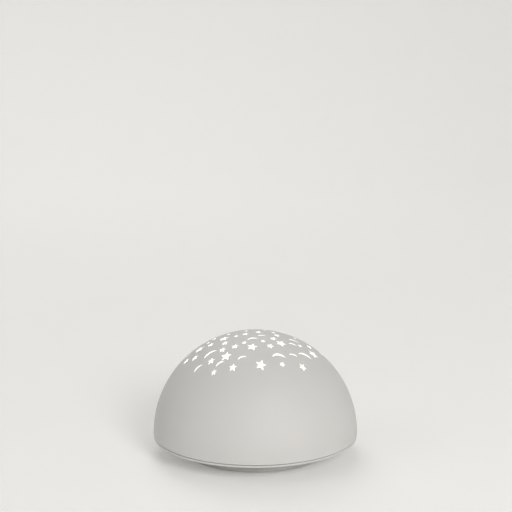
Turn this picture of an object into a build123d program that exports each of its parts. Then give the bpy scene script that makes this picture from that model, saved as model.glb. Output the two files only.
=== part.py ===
# Star night light projector: a pierced half-ball lamp on a battery base.
#
# All sizes are in millimetres. +Z is up, +Y is the back, where the push buttons are.
# The origin is on the table, under the middle of the dome.

from build123d import *
from math import atan2, cos, degrees, hypot, pi, radians, sin, sqrt, tan
import os

os.makedirs("parts", exist_ok=True)


# ---------------------------------------------------------------- driving dimensions

# Dome
dome_radius = 67.5           # outside of the half ball
dome_wall = 2.2
rim_height = 11.2            # table to the lower edge of the base's rim
rim_thickness = 1.2          # the thin band that shows under the dome
rim_seam = 0.4               # dark shadow line between the band and the dome
skirt_height = 0.4           # straight edge below the half ball
dome_edge_rounding = 0.3

# Base
foot_radius = 47.0           # recessed foot
foot_clearance = 0.8         # table to the underside of the foot: the rubber feet stand this proud
base_wall = 2.0
rim_inset = 0.3              # the band is this much smaller than the dome
rim_ledge = 2.6              # flat underside of the band, from its edge to the dish
foot_wall_height = 3.0       # upright wall of the foot
foot_chamfer = 0.8
lip_height = 3.8             # lip that centres the dome
lip_thickness = 1.6
rib_thickness = 1.6
rib_angles = (-20, 0, 20, 160, 180, 200, 250, 270, 290)

# Fits
slip_gap = 0.15              # between pieces that are fitted together and stay so
moving_gap = 0.3             # between pieces that move past each other
guide_gap = 0.1              # round plungers and other short guides
screw_gap = 0.05             # round a screw's shank in its pilot hole
door_gap = 0.35              # round the battery door
door_screw_gap = 0.25        # round the door screw, which swings out with the door

# Cells, one beside another along X
cell_diameter = 14.2
cell_length = 50.5           # over the nub
cell_nub_length = 1.2
cell_nub_diameter = 5.5
cell_gap = 0.55              # between neighbours
cell_count = 3
cell_play = 0.4              # above and below the cells
cell_rounding = 0.5

# Battery bay
bay_length = 57.0
bay_side_play = 0.5
bay_wall = 1.8
door_thickness = 2.0
door_ledge = 2.2             # width of the step that the door closes on
door_corner = 2.5
hook_width = 9.0
hook_reach = 2.6             # how far the hooks reach over the floor of the foot
hook_thickness = 1.2
hook_spacing = 30.0
hook_leg = 1.6               # how far the hooks stand inside the bay
door_tongue_width = 14.0
door_screw_reach = 6.5       # from the step's edge to the door screw

# Battery contacts
plate_thickness = 0.5
plate_width = 11.0
plate_height = 11.0
plate_corner = 1.5
dimple_height = 0.6
dimple_radius = 2.6
tab_width = 3.0
tab_rise = 3.6               # above the roof of the bay
spring_wire = 0.8
spring_turns = 3
spring_big_radius = 4.6
spring_small_radius = 3.0

# Screws (shank and head)
m3_shank = 1.4
m3_head = 2.7
m3_head_height = 1.1
door_screw_length = 4.2
washer_radius = 2.3          # pushed on the door screw's shank, to keep it in the door
washer_thickness = 0.5
m2_shank = 1.0
m2_head = 2.0
m2_head_height = 1.2
m2_length = 5.0
case_shank = 1.3
case_head = 2.6
case_head_height = 1.6
case_screw_length = 12.0
driver_slot_width = 0.7
driver_slot_depth = 0.6
driver_turn = 25             # degrees that a driven screw's cross happens to stand turned
driver_slot_share = 1.3      # length of the driver's cross over the radius of the head
head_edge_share = 0.25       # bevel of a head over its height
pilot_spare = 1.0            # depth of a pilot hole past the tip of its screw
screw_tip_share = 0.4        # bevel of a tip over the radius of the shank

# Screw posts that hold the dome to the base
post_inset = 12.2            # from the edge of the base's rim to the middle of a post
post_radius = 3.2
post_count = 4
post_start_angle = 45.0
post_seat_drop = 1.0         # the screw heads' seats lie this far under the rim's lower edge
post_split_rise = 1.2        # above the rim: base boss below, dome post above
post_gap = 0.1
boss_wall = 1.4              # round the wells of the screw heads

# Rubber feet
rubber_foot_radius = 4.0
rubber_foot_circle = 40.5
rubber_foot_recess = 0.5
rubber_foot_angles = (60, 120, 240, 300)
rubber_foot_rounding = 0.3

# Clear star window
window_thickness = 1.2
window_edge_angle = 52.0     # from the top of the dome
peg_angle = 49.8             # from the top of the dome
peg_azimuths = (0, 90, 180, 270)
peg_radius = 1.0
peg_head_radius = 1.7
peg_head_height = 0.7

# Lamp board
board_thickness = 1.6
led_board_radius = 22.0
led_board_rise = 4.0         # standoffs above the roof of the bay
standoff_radius = 2.8
standoff_circle = 16.0
standoff_count = 3
standoff_start_angle = 90.0
led_circle = 7.5
led_radius = 2.5
led_flange_radius = 2.9
led_flange_height = 1.0
led_height = 8.6
led_seat_gap = 0.8           # lamps stand a little off the board
lead_width = 0.5
lead_pitch = 2.54
lead_tail = 1.5              # below the board
resistor_circle = 11.4
resistor_length = 2.0
resistor_width = 1.25
resistor_height = 0.6
chip_length = 8.6
chip_width = 3.9
chip_height = 1.4
chip_edge = 0.3
chip_stand = 0.2             # under the chip's body
chip_place = (0.0, -14.5)
chip_legs = 7
chip_leg_pitch = 1.2
chip_leg_width = 0.45
chip_leg_reach = 1.0
capacitor_radius = 2.5
capacitor_height = 7.0
capacitor_rounding = 0.6
capacitor_place = (12.8, 8.5)
header_length = 7.4
header_width = 4.5
header_height = 6.0
header_edge = 0.4
header_place = (-10.8, 13.2)

# Push buttons, at the back, low on the dome
button_height = 28.0
button_spacing = 18.0
button_radius = 4.5
button_proud = 0.9
button_flange = 6.2
button_flange_thickness = 1.0
button_stem_radius = 2.5
button_stem_length = 1.2
button_travel = 0.8
button_rounding = 0.6
collar_radius = 7.0
collar_reach = 5.0           # from the dome's inner wall to the flat inner end of the collars

# Switches behind the buttons
switch_size = 6.0
switch_depth = 3.5
switch_corner = 0.6
plunger_radius = 1.75
plunger_reach = 1.5          # out of the switch
plunger_inside = 1.4
button_board_width = 36.0
button_board_height = 20.0
board_corner = 2.0
pillar_width = 7.0
pillar_depth = 5.0
pillar_spacing = 28.0
board_screw_drop = 5.0       # below the middle of the button board

# Wires
wire_radius = 0.65
signal_wire_radius = 0.5
signal_wire_pitch = 2.0


# ---------------------------------------------------------------- the star field

# Cut-outs seen from above: stars and crescents drawn straight up through the shell.
star_field_radius = 48.5     # nothing is pierced outside this circle
star_notch = 0.46            # inner corners over outer points
star_turn = 4.0              # the stars lie on their side, one point to the right
crescent_turn = 12.0
crescent_rise = 0.37         # height of the outer arc over the length of the crescent
crescent_hollow = 0.15       # height of the inner arc over the length of the crescent

big_star = 3.7
middle_star = 2.7
small_star = 2.05
star_field = {
    big_star: (
        (-2, -23.5), (-18.5, -28.5), (3.5, -38.5), (16.5, -15.5), (-36.5, -4), (37.5, -10.5),
        (-20.5, -5), (-8, 16), (20.5, 12.5), (-27, 24), (5.5, 32.5), (33, 20), (-40, 10.5),
    ),
    middle_star: (
        (2, -0.5), (-39, -13.5), (-28, -27.5), (-14, -38.5), (-45, -7.5), (30, -31), (35.5, -0.5),
        (9.5, -21.5), (-19.5, -13.5), (-21, -21), (-13, -21), (-29, -7), (-6.5, -4.5), (11.5, -11),
        (14, -3.5), (6, 9.5), (-27, 4), (43.5, 5.5), (11.5, 21.5), (-3.5, 25.5), (-17, 30.5),
        (25, 30), (-35, 18.5), (-5, 40.5), (17, 40), (38, 12),
    ),
    small_star: (
        (-12.5, -6), (5, -16.5), (-7, -18), (-31, 0.5), (29, -9), (17, -35.5), (-26, -37),
        (-17.5, 3), (-6, 4), (12, 2.5), (26, 4), (0.5, 17), (-20, 18), (-28, 35.5), (34, 28.5),
        (22, 21), (-12.5, 23.5), (6.5, 43.5),
    ),
}
long_crescent = 8.6
middle_crescent = 7.4
short_crescent = 5.6
crescent_field = {
    long_crescent: ((-29, -18.5), (14.5, -28.5), (31.5, -18), (-28, 14), (15, 30.5), (-10, 34.5)),
    middle_crescent: ((-2, -12.5), (25, -3.5), (-15.5, 10.5), (28.5, 11.5), (3, 24)),
    short_crescent: (
        (4, -7.5), (24, -11), (-8.5, -32), (24, -24), (-22.5, -32), (-36.5, -26), (-0.5, 9.5),
        (-37, 26.5), (-44, 2), (26, 36.5), (14, 14),
    ),
}


# ---------------------------------------------------------------- derived levels and radii

rim_top = rim_height + rim_thickness
dome_bottom = rim_top + rim_seam
dome_centre = dome_bottom + skirt_height
dome_inner = dome_radius - dome_wall
dome_middle = dome_radius - dome_wall / 2
dome_top = dome_centre + dome_radius

foot_floor = foot_clearance + base_wall
rim_radius = dome_radius - rim_inset
post_circle = rim_radius - post_inset
post_seat_height = rim_height - post_seat_drop
post_split_height = rim_top + post_split_rise
lip_top = rim_top + lip_height
lip_radius = sqrt(dome_inner ** 2 - (lip_top - dome_centre) ** 2) - slip_gap

cell_radius = cell_diameter / 2
cell_pitch = cell_diameter + cell_gap
bay_width = cell_pitch * (cell_count - 1) + cell_diameter + 2 * bay_side_play
door_top = foot_clearance + door_thickness
cell_height = door_top + cell_play + cell_radius
bay_top = cell_height + cell_radius + cell_play
bay_roof = bay_top + bay_wall
recess_top = door_top + moving_gap
step_length = bay_length + 2 * door_ledge
step_width = bay_width + 2 * door_ledge
hinge_y = -step_width / 2 + door_gap + door_thickness
hinge_z = door_top
hook_end = -step_width / 2 - hook_reach
hook_xs = (-hook_spacing / 2, hook_spacing / 2)
hook_bottom = max(door_top, foot_floor) + moving_gap
hook_sweep = hypot(hinge_y - hook_end, hook_bottom + hook_thickness - hinge_z) + moving_gap
channel_top = hinge_z + door_thickness + door_gap
door_screw_y = step_width / 2 + door_screw_reach

led_board_z = bay_roof + led_board_rise
led_board_top = led_board_z + board_thickness
cell_ys = [cell_pitch * (i - (cell_count - 1) / 2) for i in range(cell_count)]
cell_directions = [1 if i % 2 == 0 else -1 for i in range(cell_count)]
tab_top = bay_roof + tab_rise
tab_x = bay_length / 2 - plate_thickness / 2

collar_face = sqrt(dome_inner ** 2 - (button_height - dome_centre) ** 2) - collar_reach
flange_back = collar_face - moving_gap - button_flange_thickness
plunger_tip = flange_back - button_stem_length
switch_face = plunger_tip - plunger_reach
button_board_face = switch_face - switch_depth
button_xs = (button_spacing / 2, -button_spacing / 2)
pillar_face = button_board_face - board_thickness
board_screw_z = button_height - board_screw_drop
pillar_screw_places = ((pillar_spacing / 2, board_screw_z), (-pillar_spacing / 2, board_screw_z))
rubber_foot_places = [
    (rubber_foot_circle * cos(radians(angle)), rubber_foot_circle * sin(radians(angle)))
    for angle in rubber_foot_angles
]


def export(builder, name):
    """Label a finished piece and write it to its own file."""
    builder.part.label = name
    export_step(builder.part, f"parts/{name}.step")


# ---------------------------------------------------------------- shared shapes

def star_points(outer):
    """Corners of a five-pointed star with one point to the right."""
    corners = []
    for corner in range(10):
        reach = outer if corner % 2 == 0 else outer * star_notch
        angle = radians(36 * corner)
        corners.append((reach * cos(angle), reach * sin(angle)))
    return corners


def crescent(length):
    """Crescent moon, bulging away from the front, as a sketch about the middle of its chord."""
    half = length / 2
    drop = -length * (crescent_rise + crescent_hollow) / 2
    left, right = (-half, drop), (half, drop)
    with BuildSketch() as moon:
        with BuildLine():
            ThreePointArc(left, (0, drop + length * crescent_rise), right)
            ThreePointArc(right, (0, drop + length * crescent_hollow), left)
        make_face()
    return moon.sketch


def tube_radii(route):
    """As large an arc for each corner of a wire's route as its two runs allow."""
    share_of_run = 0.45
    radii = []
    for before, corner, after in zip(route, route[1:], route[2:]):
        run_in, run_out = Vector(*corner) - Vector(*before), Vector(*after) - Vector(*corner)
        turn = radians(run_in.get_angle(run_out))
        radii.append(share_of_run * min(run_in.length, run_out.length) / tan(turn / 2))
    return radii


def wire_tube(route, radius):
    """One wire along a route of straight runs joined by arcs."""
    radii = tube_radii(route)
    print("wire arcs", [round(r, 1) for r in radii], "for wire radius", radius)
    with BuildPart() as tube:
        with BuildLine() as path:
            FilletPolyline(*route, radius=radii)
        with BuildSketch(Plane(route[0], z_dir=path.line % 0)):
            Circle(radius)
        sweep(path=path.line)
    length = path.wires()[0].length
    print("  volume over section times length", tube.part.volume / (pi * radius ** 2 * length))
    return tube


def screw(shank_radius, length, head_radius, head_height):
    """Round-headed screw along Z, head up, with the seat of its head at the origin."""
    with BuildPart() as body:
        with BuildSketch():
            Circle(head_radius)
        extrude(amount=head_height)
        chamfer(body.faces().sort_by(Axis.Z)[-1].edges(), length=head_height * head_edge_share)
        with BuildSketch(Plane.XY.offset(head_height)):
            Rectangle(head_radius * driver_slot_share, driver_slot_width)
            Rectangle(driver_slot_width, head_radius * driver_slot_share)
        extrude(amount=-driver_slot_depth, mode=Mode.SUBTRACT)
        with BuildSketch():
            Circle(shank_radius)
        extrude(amount=-length)
        chamfer(body.faces().sort_by(Axis.Z)[0].edges(), length=shank_radius * screw_tip_share)
    return body.part.rotate(Axis.Z, driver_turn)


case_screw = screw(case_shank, case_screw_length, case_head, case_head_height)
board_screw = screw(m2_shank, m2_length, m2_head, m2_head_height)
cover_screw = screw(m3_shank, door_screw_length, m3_head, m3_head_height)
downwards = (0, 0, -1)


# ---------------------------------------------------------------- dome shell

button_places = [(x, button_height) for x in button_xs]
window_outer = dome_inner - slip_gap
window_inner = window_outer - window_thickness
peg_head_top = window_inner - guide_gap
cutout_depth = dome_radius - sqrt(dome_inner ** 2 - star_field_radius ** 2) + dome_wall


def dome_plane(radius, azimuth):
    """Plane across a window peg, on a sphere about the dome's centre, facing outwards."""
    level, round_about = radians(peg_angle), radians(azimuth)
    outwards = Vector(sin(level) * cos(round_about), sin(level) * sin(round_about), cos(level))
    return Plane(Vector(0, 0, dome_centre) + outwards * radius, z_dir=outwards)


crescents = {length: crescent(length) for length in crescent_field}
with BuildPart() as dome_shell:
    # Screw posts, and the collars that guide the buttons, grown to the middle of the wall.
    with BuildSketch(Plane.XY.offset(post_split_height + post_gap)):
        with PolarLocations(post_circle, post_count, start_angle=post_start_angle):
            Circle(post_radius)
    extrude(amount=dome_radius)
    with BuildSketch(Plane.back.offset(collar_face)):
        with Locations(*button_places):
            Circle(collar_radius)
    extrude(amount=dome_radius)
    with Locations((0, 0, dome_centre)):
        Sphere(dome_middle, mode=Mode.INTERSECT)
    # Half ball on a short skirt.
    with BuildSketch(Plane.XZ):
        with BuildLine():
            CenterArc((0, dome_centre), dome_radius, 0, 90)
            CenterArc((0, dome_centre), dome_inner, 0, 90)
            Polyline((dome_radius, dome_centre), (dome_radius, dome_bottom),
                     (dome_inner, dome_bottom), (dome_inner, dome_centre))
            Line((0, dome_centre + dome_inner), (0, dome_top))
        make_face()
    revolve(axis=Axis.Z)
    bottom_edges = dome_shell.edges().filter_by(GeomType.CIRCLE).group_by(Axis.Z)[0]
    fillet(bottom_edges.sort_by(SortBy.RADIUS)[-1], radius=dome_edge_rounding)
    # Stars and crescents, pulled straight up out of the mould.
    with BuildSketch(Plane.XY.offset(dome_top)):
        for outer, places in star_field.items():
            with Locations(*places):
                Polygon(*star_points(outer), rotation=star_turn)
        for length, places in crescent_field.items():
            with Locations(*places):
                add(crescents[length], rotation=crescent_turn)
    extrude(amount=-cutout_depth, mode=Mode.SUBTRACT)
    # Button holes and pilot holes.
    with BuildSketch(Plane.back.offset(collar_face)):
        with Locations(*button_places):
            Circle(button_radius + moving_gap)
    extrude(amount=dome_radius, mode=Mode.SUBTRACT)
    with BuildSketch(Plane.XY.offset(post_split_height)):
        with PolarLocations(post_circle, post_count, start_angle=post_start_angle):
            Circle(case_shank + screw_gap)
    extrude(amount=post_seat_height + case_screw_length + pilot_spare - post_split_height,
            mode=Mode.SUBTRACT)
    # Melted pegs that hold the clear window.
    with BuildSketch(*[dome_plane(peg_head_top, azimuth) for azimuth in peg_azimuths]):
        Circle(peg_radius)
    extrude(amount=dome_middle - peg_head_top)
    with BuildSketch(*[dome_plane(peg_head_top, azimuth) for azimuth in peg_azimuths]):
        Circle(peg_head_radius)
    extrude(amount=-peg_head_height)
export(dome_shell, "dome_shell")

with BuildPart() as star_window:
    with BuildSketch(Plane.XZ):
        with BuildLine():
            outside = CenterArc((0, dome_centre), window_outer, 90 - window_edge_angle,
                                window_edge_angle)
            inside = CenterArc((0, dome_centre), window_inner, 90 - window_edge_angle,
                               window_edge_angle)
            Line(outside @ 0, inside @ 0)
            Line(outside @ 1, inside @ 1)
        make_face()
    revolve(axis=Axis.Z)
    with BuildSketch(*[dome_plane(peg_head_top, azimuth) for azimuth in peg_azimuths]):
        Circle(peg_radius + guide_gap)
    extrude(amount=dome_middle - peg_head_top, mode=Mode.SUBTRACT)
export(star_window, "star_window")


# ---------------------------------------------------------------- base housing

door_length = step_length - 2 * door_gap
door_width = step_width - 2 * door_gap
door_screw_seat = foot_clearance + m3_head_height + guide_gap
door_screw_tip = door_screw_seat + door_screw_length
door_screw_hole_top = door_screw_tip + moving_gap
step_pad_top = max(channel_top, door_screw_hole_top) + bay_wall
washer_bottom = door_top + guide_gap
washer_well_top = washer_bottom + washer_thickness + moving_gap
inner_lip = lip_radius - lip_thickness
inner_foot = foot_radius - base_wall
mid_lip = lip_radius - lip_thickness / 2
mid_foot = foot_radius - base_wall / 2
mid_floor = foot_clearance + base_wall / 2

dish_low = (foot_radius, foot_clearance + foot_wall_height)
dish_high = (rim_radius - rim_ledge, rim_height)
dish_run, dish_climb = dish_high[0] - dish_low[0], dish_high[1] - dish_low[1]
dish_slant = hypot(dish_run, dish_climb)


def dish_height(radius, thickness):
    """Height of the dish at a radius, a thickness above its underside."""
    return dish_low[1] + (thickness * dish_slant + (radius - dish_low[0]) * dish_climb) / dish_run


def door_outline(grow):
    """Outline of the battery door with its screw tongue, grown all round."""
    with BuildSketch() as outline:
        RectangleRounded(door_length + 2 * grow, door_width + 2 * grow, door_corner + grow)
        with Locations((0, -door_width / 4)):
            Rectangle(door_length + 2 * grow, door_width / 2 + 2 * grow)
        with Locations((0, door_screw_y)):
            Circle(door_tongue_width / 2 + grow)
        with Locations((0, door_screw_y / 2)):
            Rectangle(door_tongue_width + 2 * grow, door_screw_y)
    return outline.sketch


door_shape = door_outline(0)
recess_shape = door_outline(door_gap)
pad_shape = door_outline(door_gap + bay_wall)


def rise(low, high):
    """Extrude from one height to another: the sketch lies at the lower one."""
    return extrude(amount=high - low)


with BuildPart() as base_housing:
    # Screw bosses, ribs and the pillars of the button board, grown from the middle of the wall.
    with BuildSketch(Plane.XY.offset(mid_floor)):
        with PolarLocations(post_circle, post_count, start_angle=post_start_angle):
            Circle(case_head + moving_gap + boss_wall)
    rise(mid_floor, post_split_height)
    with BuildSketch(Plane.XY.offset(mid_floor)):
        for angle in rib_angles:
            with PolarLocations((inner_foot + mid_lip) / 2, 1, start_angle=angle):
                Rectangle(mid_lip - inner_foot, rib_thickness)
    rise(mid_floor, rim_top)
    with BuildSketch(Plane.XY.offset(mid_floor)):
        with Locations((pillar_spacing / 2, pillar_face - pillar_depth / 2),
                       (-pillar_spacing / 2, pillar_face - pillar_depth / 2)):
            Rectangle(pillar_width, pillar_depth)
    rise(mid_floor, board_screw_z + pillar_width / 2)
    with BuildSketch(Plane.XZ):
        Polygon((mid_foot, 0), (mid_foot, dish_height(mid_foot, base_wall / 2)),
                (mid_lip, dish_height(mid_lip, base_wall / 2)),
                (dome_radius, dish_height(mid_lip, base_wall / 2)), (dome_radius, 0))
    revolve(axis=Axis.Z, mode=Mode.SUBTRACT)
    # Foot, dish, rim and lip in one wall.
    with BuildSketch(Plane.XZ):
        with BuildLine():
            Polyline((0, foot_floor), (0, foot_clearance),
                     (foot_radius - foot_chamfer, foot_clearance),
                     (foot_radius, foot_clearance + foot_chamfer),
                     dish_low, dish_high, (rim_radius, rim_height), (rim_radius, rim_top),
                     (lip_radius, rim_top), (lip_radius, lip_top), (inner_lip, lip_top),
                     (inner_lip, dish_height(inner_lip, base_wall)),
                     (inner_foot, dish_height(inner_foot, base_wall)), (inner_foot, foot_floor),
                     close=True)
        make_face()
    revolve(axis=Axis.Z)
    # Battery bay, the pad round its step, and standoffs for the lamp board.
    with BuildSketch(Plane.XY.offset(foot_clearance)):
        RectangleRounded(bay_length + 2 * bay_wall, bay_width + 2 * bay_wall, bay_wall)
    rise(foot_clearance, bay_roof)
    with BuildSketch(Plane.XY.offset(foot_clearance)):
        add(pad_shape)
    rise(foot_clearance, step_pad_top)
    with BuildSketch(Plane.XY.offset(bay_top)):
        with PolarLocations(standoff_circle, standoff_count, start_angle=standoff_start_angle):
            Circle(standoff_radius)
    rise(bay_top, led_board_z)
    # The hollow of the bay, the step for the door, its hinge channel and the hook notches.
    with BuildSketch(Plane.XY.offset(foot_clearance)):
        Rectangle(bay_length, bay_width)
    extrude(amount=bay_top - foot_clearance, mode=Mode.SUBTRACT)
    with BuildSketch(Plane.XY.offset(foot_clearance)):
        add(recess_shape)
    extrude(amount=recess_top - foot_clearance, mode=Mode.SUBTRACT)
    with BuildSketch(Plane.XY.offset(foot_clearance)):
        with Locations((0, (hinge_y - step_width / 2) / 2)):
            Rectangle(step_length, hinge_y + step_width / 2)
    extrude(amount=channel_top - foot_clearance, mode=Mode.SUBTRACT)
    with BuildSketch(Plane.XY.offset(foot_floor)):
        with Locations(*[(x, (hook_end - moving_gap + hinge_y) / 2) for x in hook_xs]):
            Rectangle(hook_width + 2 * moving_gap, hinge_y - hook_end + moving_gap)
    extrude(amount=hinge_z + hook_sweep - foot_floor, mode=Mode.SUBTRACT)
    # Slots that let the two end plates' tabs out through the roof.
    with BuildSketch(Plane.XY.offset(bay_top)):
        with Locations((tab_x, cell_ys[-1]), (-tab_x, cell_ys[0])):
            Rectangle(plate_thickness + 2 * guide_gap, tab_width + 2 * guide_gap)
    extrude(amount=bay_wall, mode=Mode.SUBTRACT)
    # Screw holes: the dome's screws in wells, then the door's, the lamp board's and the pillars'.
    with BuildSketch(Plane.XY):
        with PolarLocations(post_circle, post_count, start_angle=post_start_angle):
            Circle(case_head + moving_gap)
    extrude(amount=post_seat_height, mode=Mode.SUBTRACT)
    with BuildSketch(Plane.XY.offset(post_seat_height)):
        with PolarLocations(post_circle, post_count, start_angle=post_start_angle):
            Circle(case_shank + guide_gap)
    extrude(amount=post_split_height - post_seat_height, mode=Mode.SUBTRACT)
    with BuildSketch(Plane.XY.offset(door_top)):
        with Locations((0, door_screw_y)):
            Circle(m3_shank + door_screw_gap)
    extrude(amount=door_screw_hole_top - door_top, mode=Mode.SUBTRACT)
    with BuildSketch(Plane.XY.offset(door_top)):
        with Locations((0, door_screw_y)):
            Circle(washer_radius + moving_gap)
    extrude(amount=washer_well_top - door_top, mode=Mode.SUBTRACT)
    with BuildSketch(Plane.XY.offset(led_board_z)):
        with PolarLocations(standoff_circle, standoff_count, start_angle=standoff_start_angle):
            Circle(m2_shank + screw_gap)
    extrude(amount=-(m2_length - board_thickness + moving_gap), mode=Mode.SUBTRACT)
    with BuildSketch(Plane.back.offset(pillar_face)):
        with Locations(*pillar_screw_places):
            Circle(m2_shank + screw_gap)
    extrude(amount=-(m2_length - board_thickness + moving_gap), mode=Mode.SUBTRACT)
    # Seats for the rubber feet.
    with BuildSketch(Plane.XY.offset(foot_clearance)):
        with Locations(*rubber_foot_places):
            Circle(rubber_foot_radius + guide_gap)
    extrude(amount=rubber_foot_recess, mode=Mode.SUBTRACT)
export(base_housing, "base_housing")

for number, place in enumerate(rubber_foot_places, 1):
    with BuildPart() as rubber_foot:
        with BuildSketch():
            with Locations(place):
                Circle(rubber_foot_radius)
        extrude(amount=foot_clearance + rubber_foot_recess)
        fillet(rubber_foot.edges().sort_by(Axis.Z)[0], radius=rubber_foot_rounding)
    export(rubber_foot, f"rubber_foot_{number}")


# ---------------------------------------------------------------- battery door

with BuildPart() as battery_door:
    with BuildSketch(Plane.XY.offset(foot_clearance)):
        add(door_shape)
    extrude(amount=door_thickness)
    # The hinge edge is round, so that it turns in its channel.
    low_edges = battery_door.edges().filter_by(Axis.X).group_by(Axis.Y)[0]
    fillet(low_edges.sort_by(Axis.Z)[0], radius=door_thickness - screw_gap)
    # Two hooks on short legs: they reach over the floor of the foot.
    with BuildSketch(Plane.XY.offset(foot_clearance + door_thickness / 2)):
        with Locations(*[(x, hinge_y + hook_leg / 2 - hook_thickness / 2) for x in hook_xs]):
            Rectangle(hook_width, hook_leg + hook_thickness)
    extrude(amount=hook_bottom + hook_thickness - foot_clearance - door_thickness / 2)
    with BuildSketch(Plane.XY.offset(hook_bottom)):
        with Locations(*[(x, (hook_end + hinge_y) / 2) for x in hook_xs]):
            Rectangle(hook_width, hinge_y - hook_end)
    extrude(amount=hook_thickness)
    # Sunk seat of the screw.
    with BuildSketch(Plane.XY.offset(foot_clearance)):
        with Locations((0, door_screw_y)):
            Circle(m3_head + moving_gap)
    extrude(amount=door_screw_seat + screw_gap - foot_clearance, mode=Mode.SUBTRACT)
    with BuildSketch(Plane.XY.offset(foot_clearance)):
        with Locations((0, door_screw_y)):
            Circle(m3_shank + guide_gap)
    extrude(amount=door_thickness, mode=Mode.SUBTRACT)
export(battery_door, "battery_door")

with BuildPart() as door_screw:
    with Locations(Plane((0, door_screw_y, door_screw_seat), z_dir=downwards)):
        add(cover_screw)
export(door_screw, "door_screw")

with BuildPart() as door_screw_washer:
    with BuildSketch(Plane.XY.offset(washer_bottom)):
        with Locations((0, door_screw_y)):
            Circle(washer_radius)
            Circle(m3_shank, mode=Mode.SUBTRACT)
    extrude(amount=washer_thickness)
export(door_screw_washer, "door_screw_washer")


# ---------------------------------------------------------------- cells and their contacts

plate_face = bay_length / 2 - plate_thickness
nub_end = plate_face - dimple_height
flat_end = nub_end - cell_length
spring_rise = plate_face + flat_end - spring_wire - 2 * screw_gap
spring_foot = -plate_face + spring_wire / 2 + screw_gap
spring_taper = degrees(atan2(spring_big_radius - spring_small_radius, spring_rise))

# Cone of spring wire between an end plate and the flat end of a cell that points along +X.
with BuildPart() as cone_spring:
    with BuildLine() as coil:
        Helix(spring_rise / spring_turns, spring_rise, spring_big_radius,
              center=(spring_foot, 0, 0), direction=(1, 0, 0), cone_angle=-spring_taper)
    with BuildSketch(Plane(coil.line @ 0, z_dir=coil.line % 0)):
        Circle(spring_wire / 2)
    sweep(path=coil.line, is_frenet=True)

for number, (y, direction) in enumerate(zip(cell_ys, cell_directions), 1):
    along = Plane((direction * flat_end, y, cell_height), z_dir=(direction, 0, 0))
    with BuildPart() as battery:
        with BuildSketch(along):
            Circle(cell_radius)
        extrude(amount=cell_length - cell_nub_length)
        fillet(battery.edges().filter_by(GeomType.CIRCLE), radius=cell_rounding)
        with BuildSketch(along.offset(cell_length - cell_nub_length)):
            Circle(cell_nub_diameter / 2)
        extrude(amount=cell_nub_length)
        fillet(battery.faces().sort_by(Axis.X)[-1 if direction > 0 else 0].edges(),
               radius=cell_rounding)
    export(battery, f"battery_{number}")

    with BuildPart() as spring:
        with Locations(Plane((0, y, cell_height), x_dir=(direction, 0, 0))):
            add(cone_spring.part)
    export(spring, f"battery_spring_{number}")


def contact_plate(side, ys, nub_y=None, tab_y=None):
    """Sprung steel plate against an end wall of the bay, at one cell or across two."""
    upright = Plane((side * plate_face, 0, cell_height), x_dir=(0, side, 0), z_dir=(side, 0, 0))
    with BuildPart() as plate:
        with BuildSketch(upright):
            with Locations((side * (min(ys) + max(ys)) / 2, 0)):
                RectangleRounded(max(ys) - min(ys) + plate_width, plate_height, plate_corner)
            if tab_y is not None:
                with Locations((side * tab_y, (tab_top - cell_height) / 2)):
                    Rectangle(tab_width, tab_top - cell_height)
        extrude(amount=plate_thickness)
        if nub_y is not None:
            with BuildSketch(upright):
                with Locations((side * nub_y, 0)):
                    Circle(dimple_radius)
            extrude(amount=-dimple_height)
    return plate


front_cell, middle_cell, back_cell = cell_ys
export(contact_plate(1, [back_cell], nub_y=back_cell, tab_y=back_cell), "positive_contact")
export(contact_plate(-1, [front_cell], tab_y=front_cell), "negative_contact")
export(contact_plate(-1, [middle_cell, back_cell], nub_y=middle_cell), "left_link_contact")
export(contact_plate(1, [front_cell, middle_cell], nub_y=front_cell), "right_link_contact")


# ---------------------------------------------------------------- lamp board

led_names = ("red_1", "green_1", "blue_1", "red_2", "green_2", "blue_2")
led_count = len(led_names)
led_start_angle = 0.0

with BuildPart() as led_board:
    with BuildSketch(Plane.XY.offset(led_board_z)):
        Circle(led_board_radius)
        with PolarLocations(standoff_circle, standoff_count, start_angle=standoff_start_angle):
            Circle(m2_shank + guide_gap, mode=Mode.SUBTRACT)
        with PolarLocations(led_circle, led_count, start_angle=led_start_angle):
            with Locations((0, lead_pitch / 2), (0, -lead_pitch / 2)):
                Circle(lead_width, mode=Mode.SUBTRACT)
    extrude(amount=board_thickness)
export(led_board, "led_board")

led_seat = led_board_top + led_seat_gap
for number, name in enumerate(led_names):
    angle = led_start_angle + number * 360 / led_count
    with BuildPart() as led:
        with BuildSketch(Plane.XY.offset(led_seat)):
            with PolarLocations(led_circle, 1, start_angle=angle):
                Circle(led_flange_radius)
        extrude(amount=led_flange_height)
        with BuildSketch(Plane.XY.offset(led_seat)):
            with PolarLocations(led_circle, 1, start_angle=angle):
                Circle(led_radius)
        extrude(amount=led_height)
        fillet(led.edges().sort_by(Axis.Z)[-1], radius=led_radius - screw_gap)
        with BuildSketch(Plane.XY.offset(led_board_z - lead_tail)):
            with PolarLocations(led_circle, 1, start_angle=angle):
                with Locations((0, lead_pitch / 2), (0, -lead_pitch / 2)):
                    Rectangle(lead_width, lead_width)
        extrude(amount=led_seat - led_board_z + lead_tail)
    export(led, f"led_{name}")

with BuildPart() as board_resistors:
    with BuildSketch(Plane.XY.offset(led_board_top)):
        with PolarLocations(resistor_circle, led_count, start_angle=led_start_angle):
            Rectangle(resistor_length, resistor_width)
    extrude(amount=resistor_height)
export(board_resistors, "board_resistors")

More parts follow.
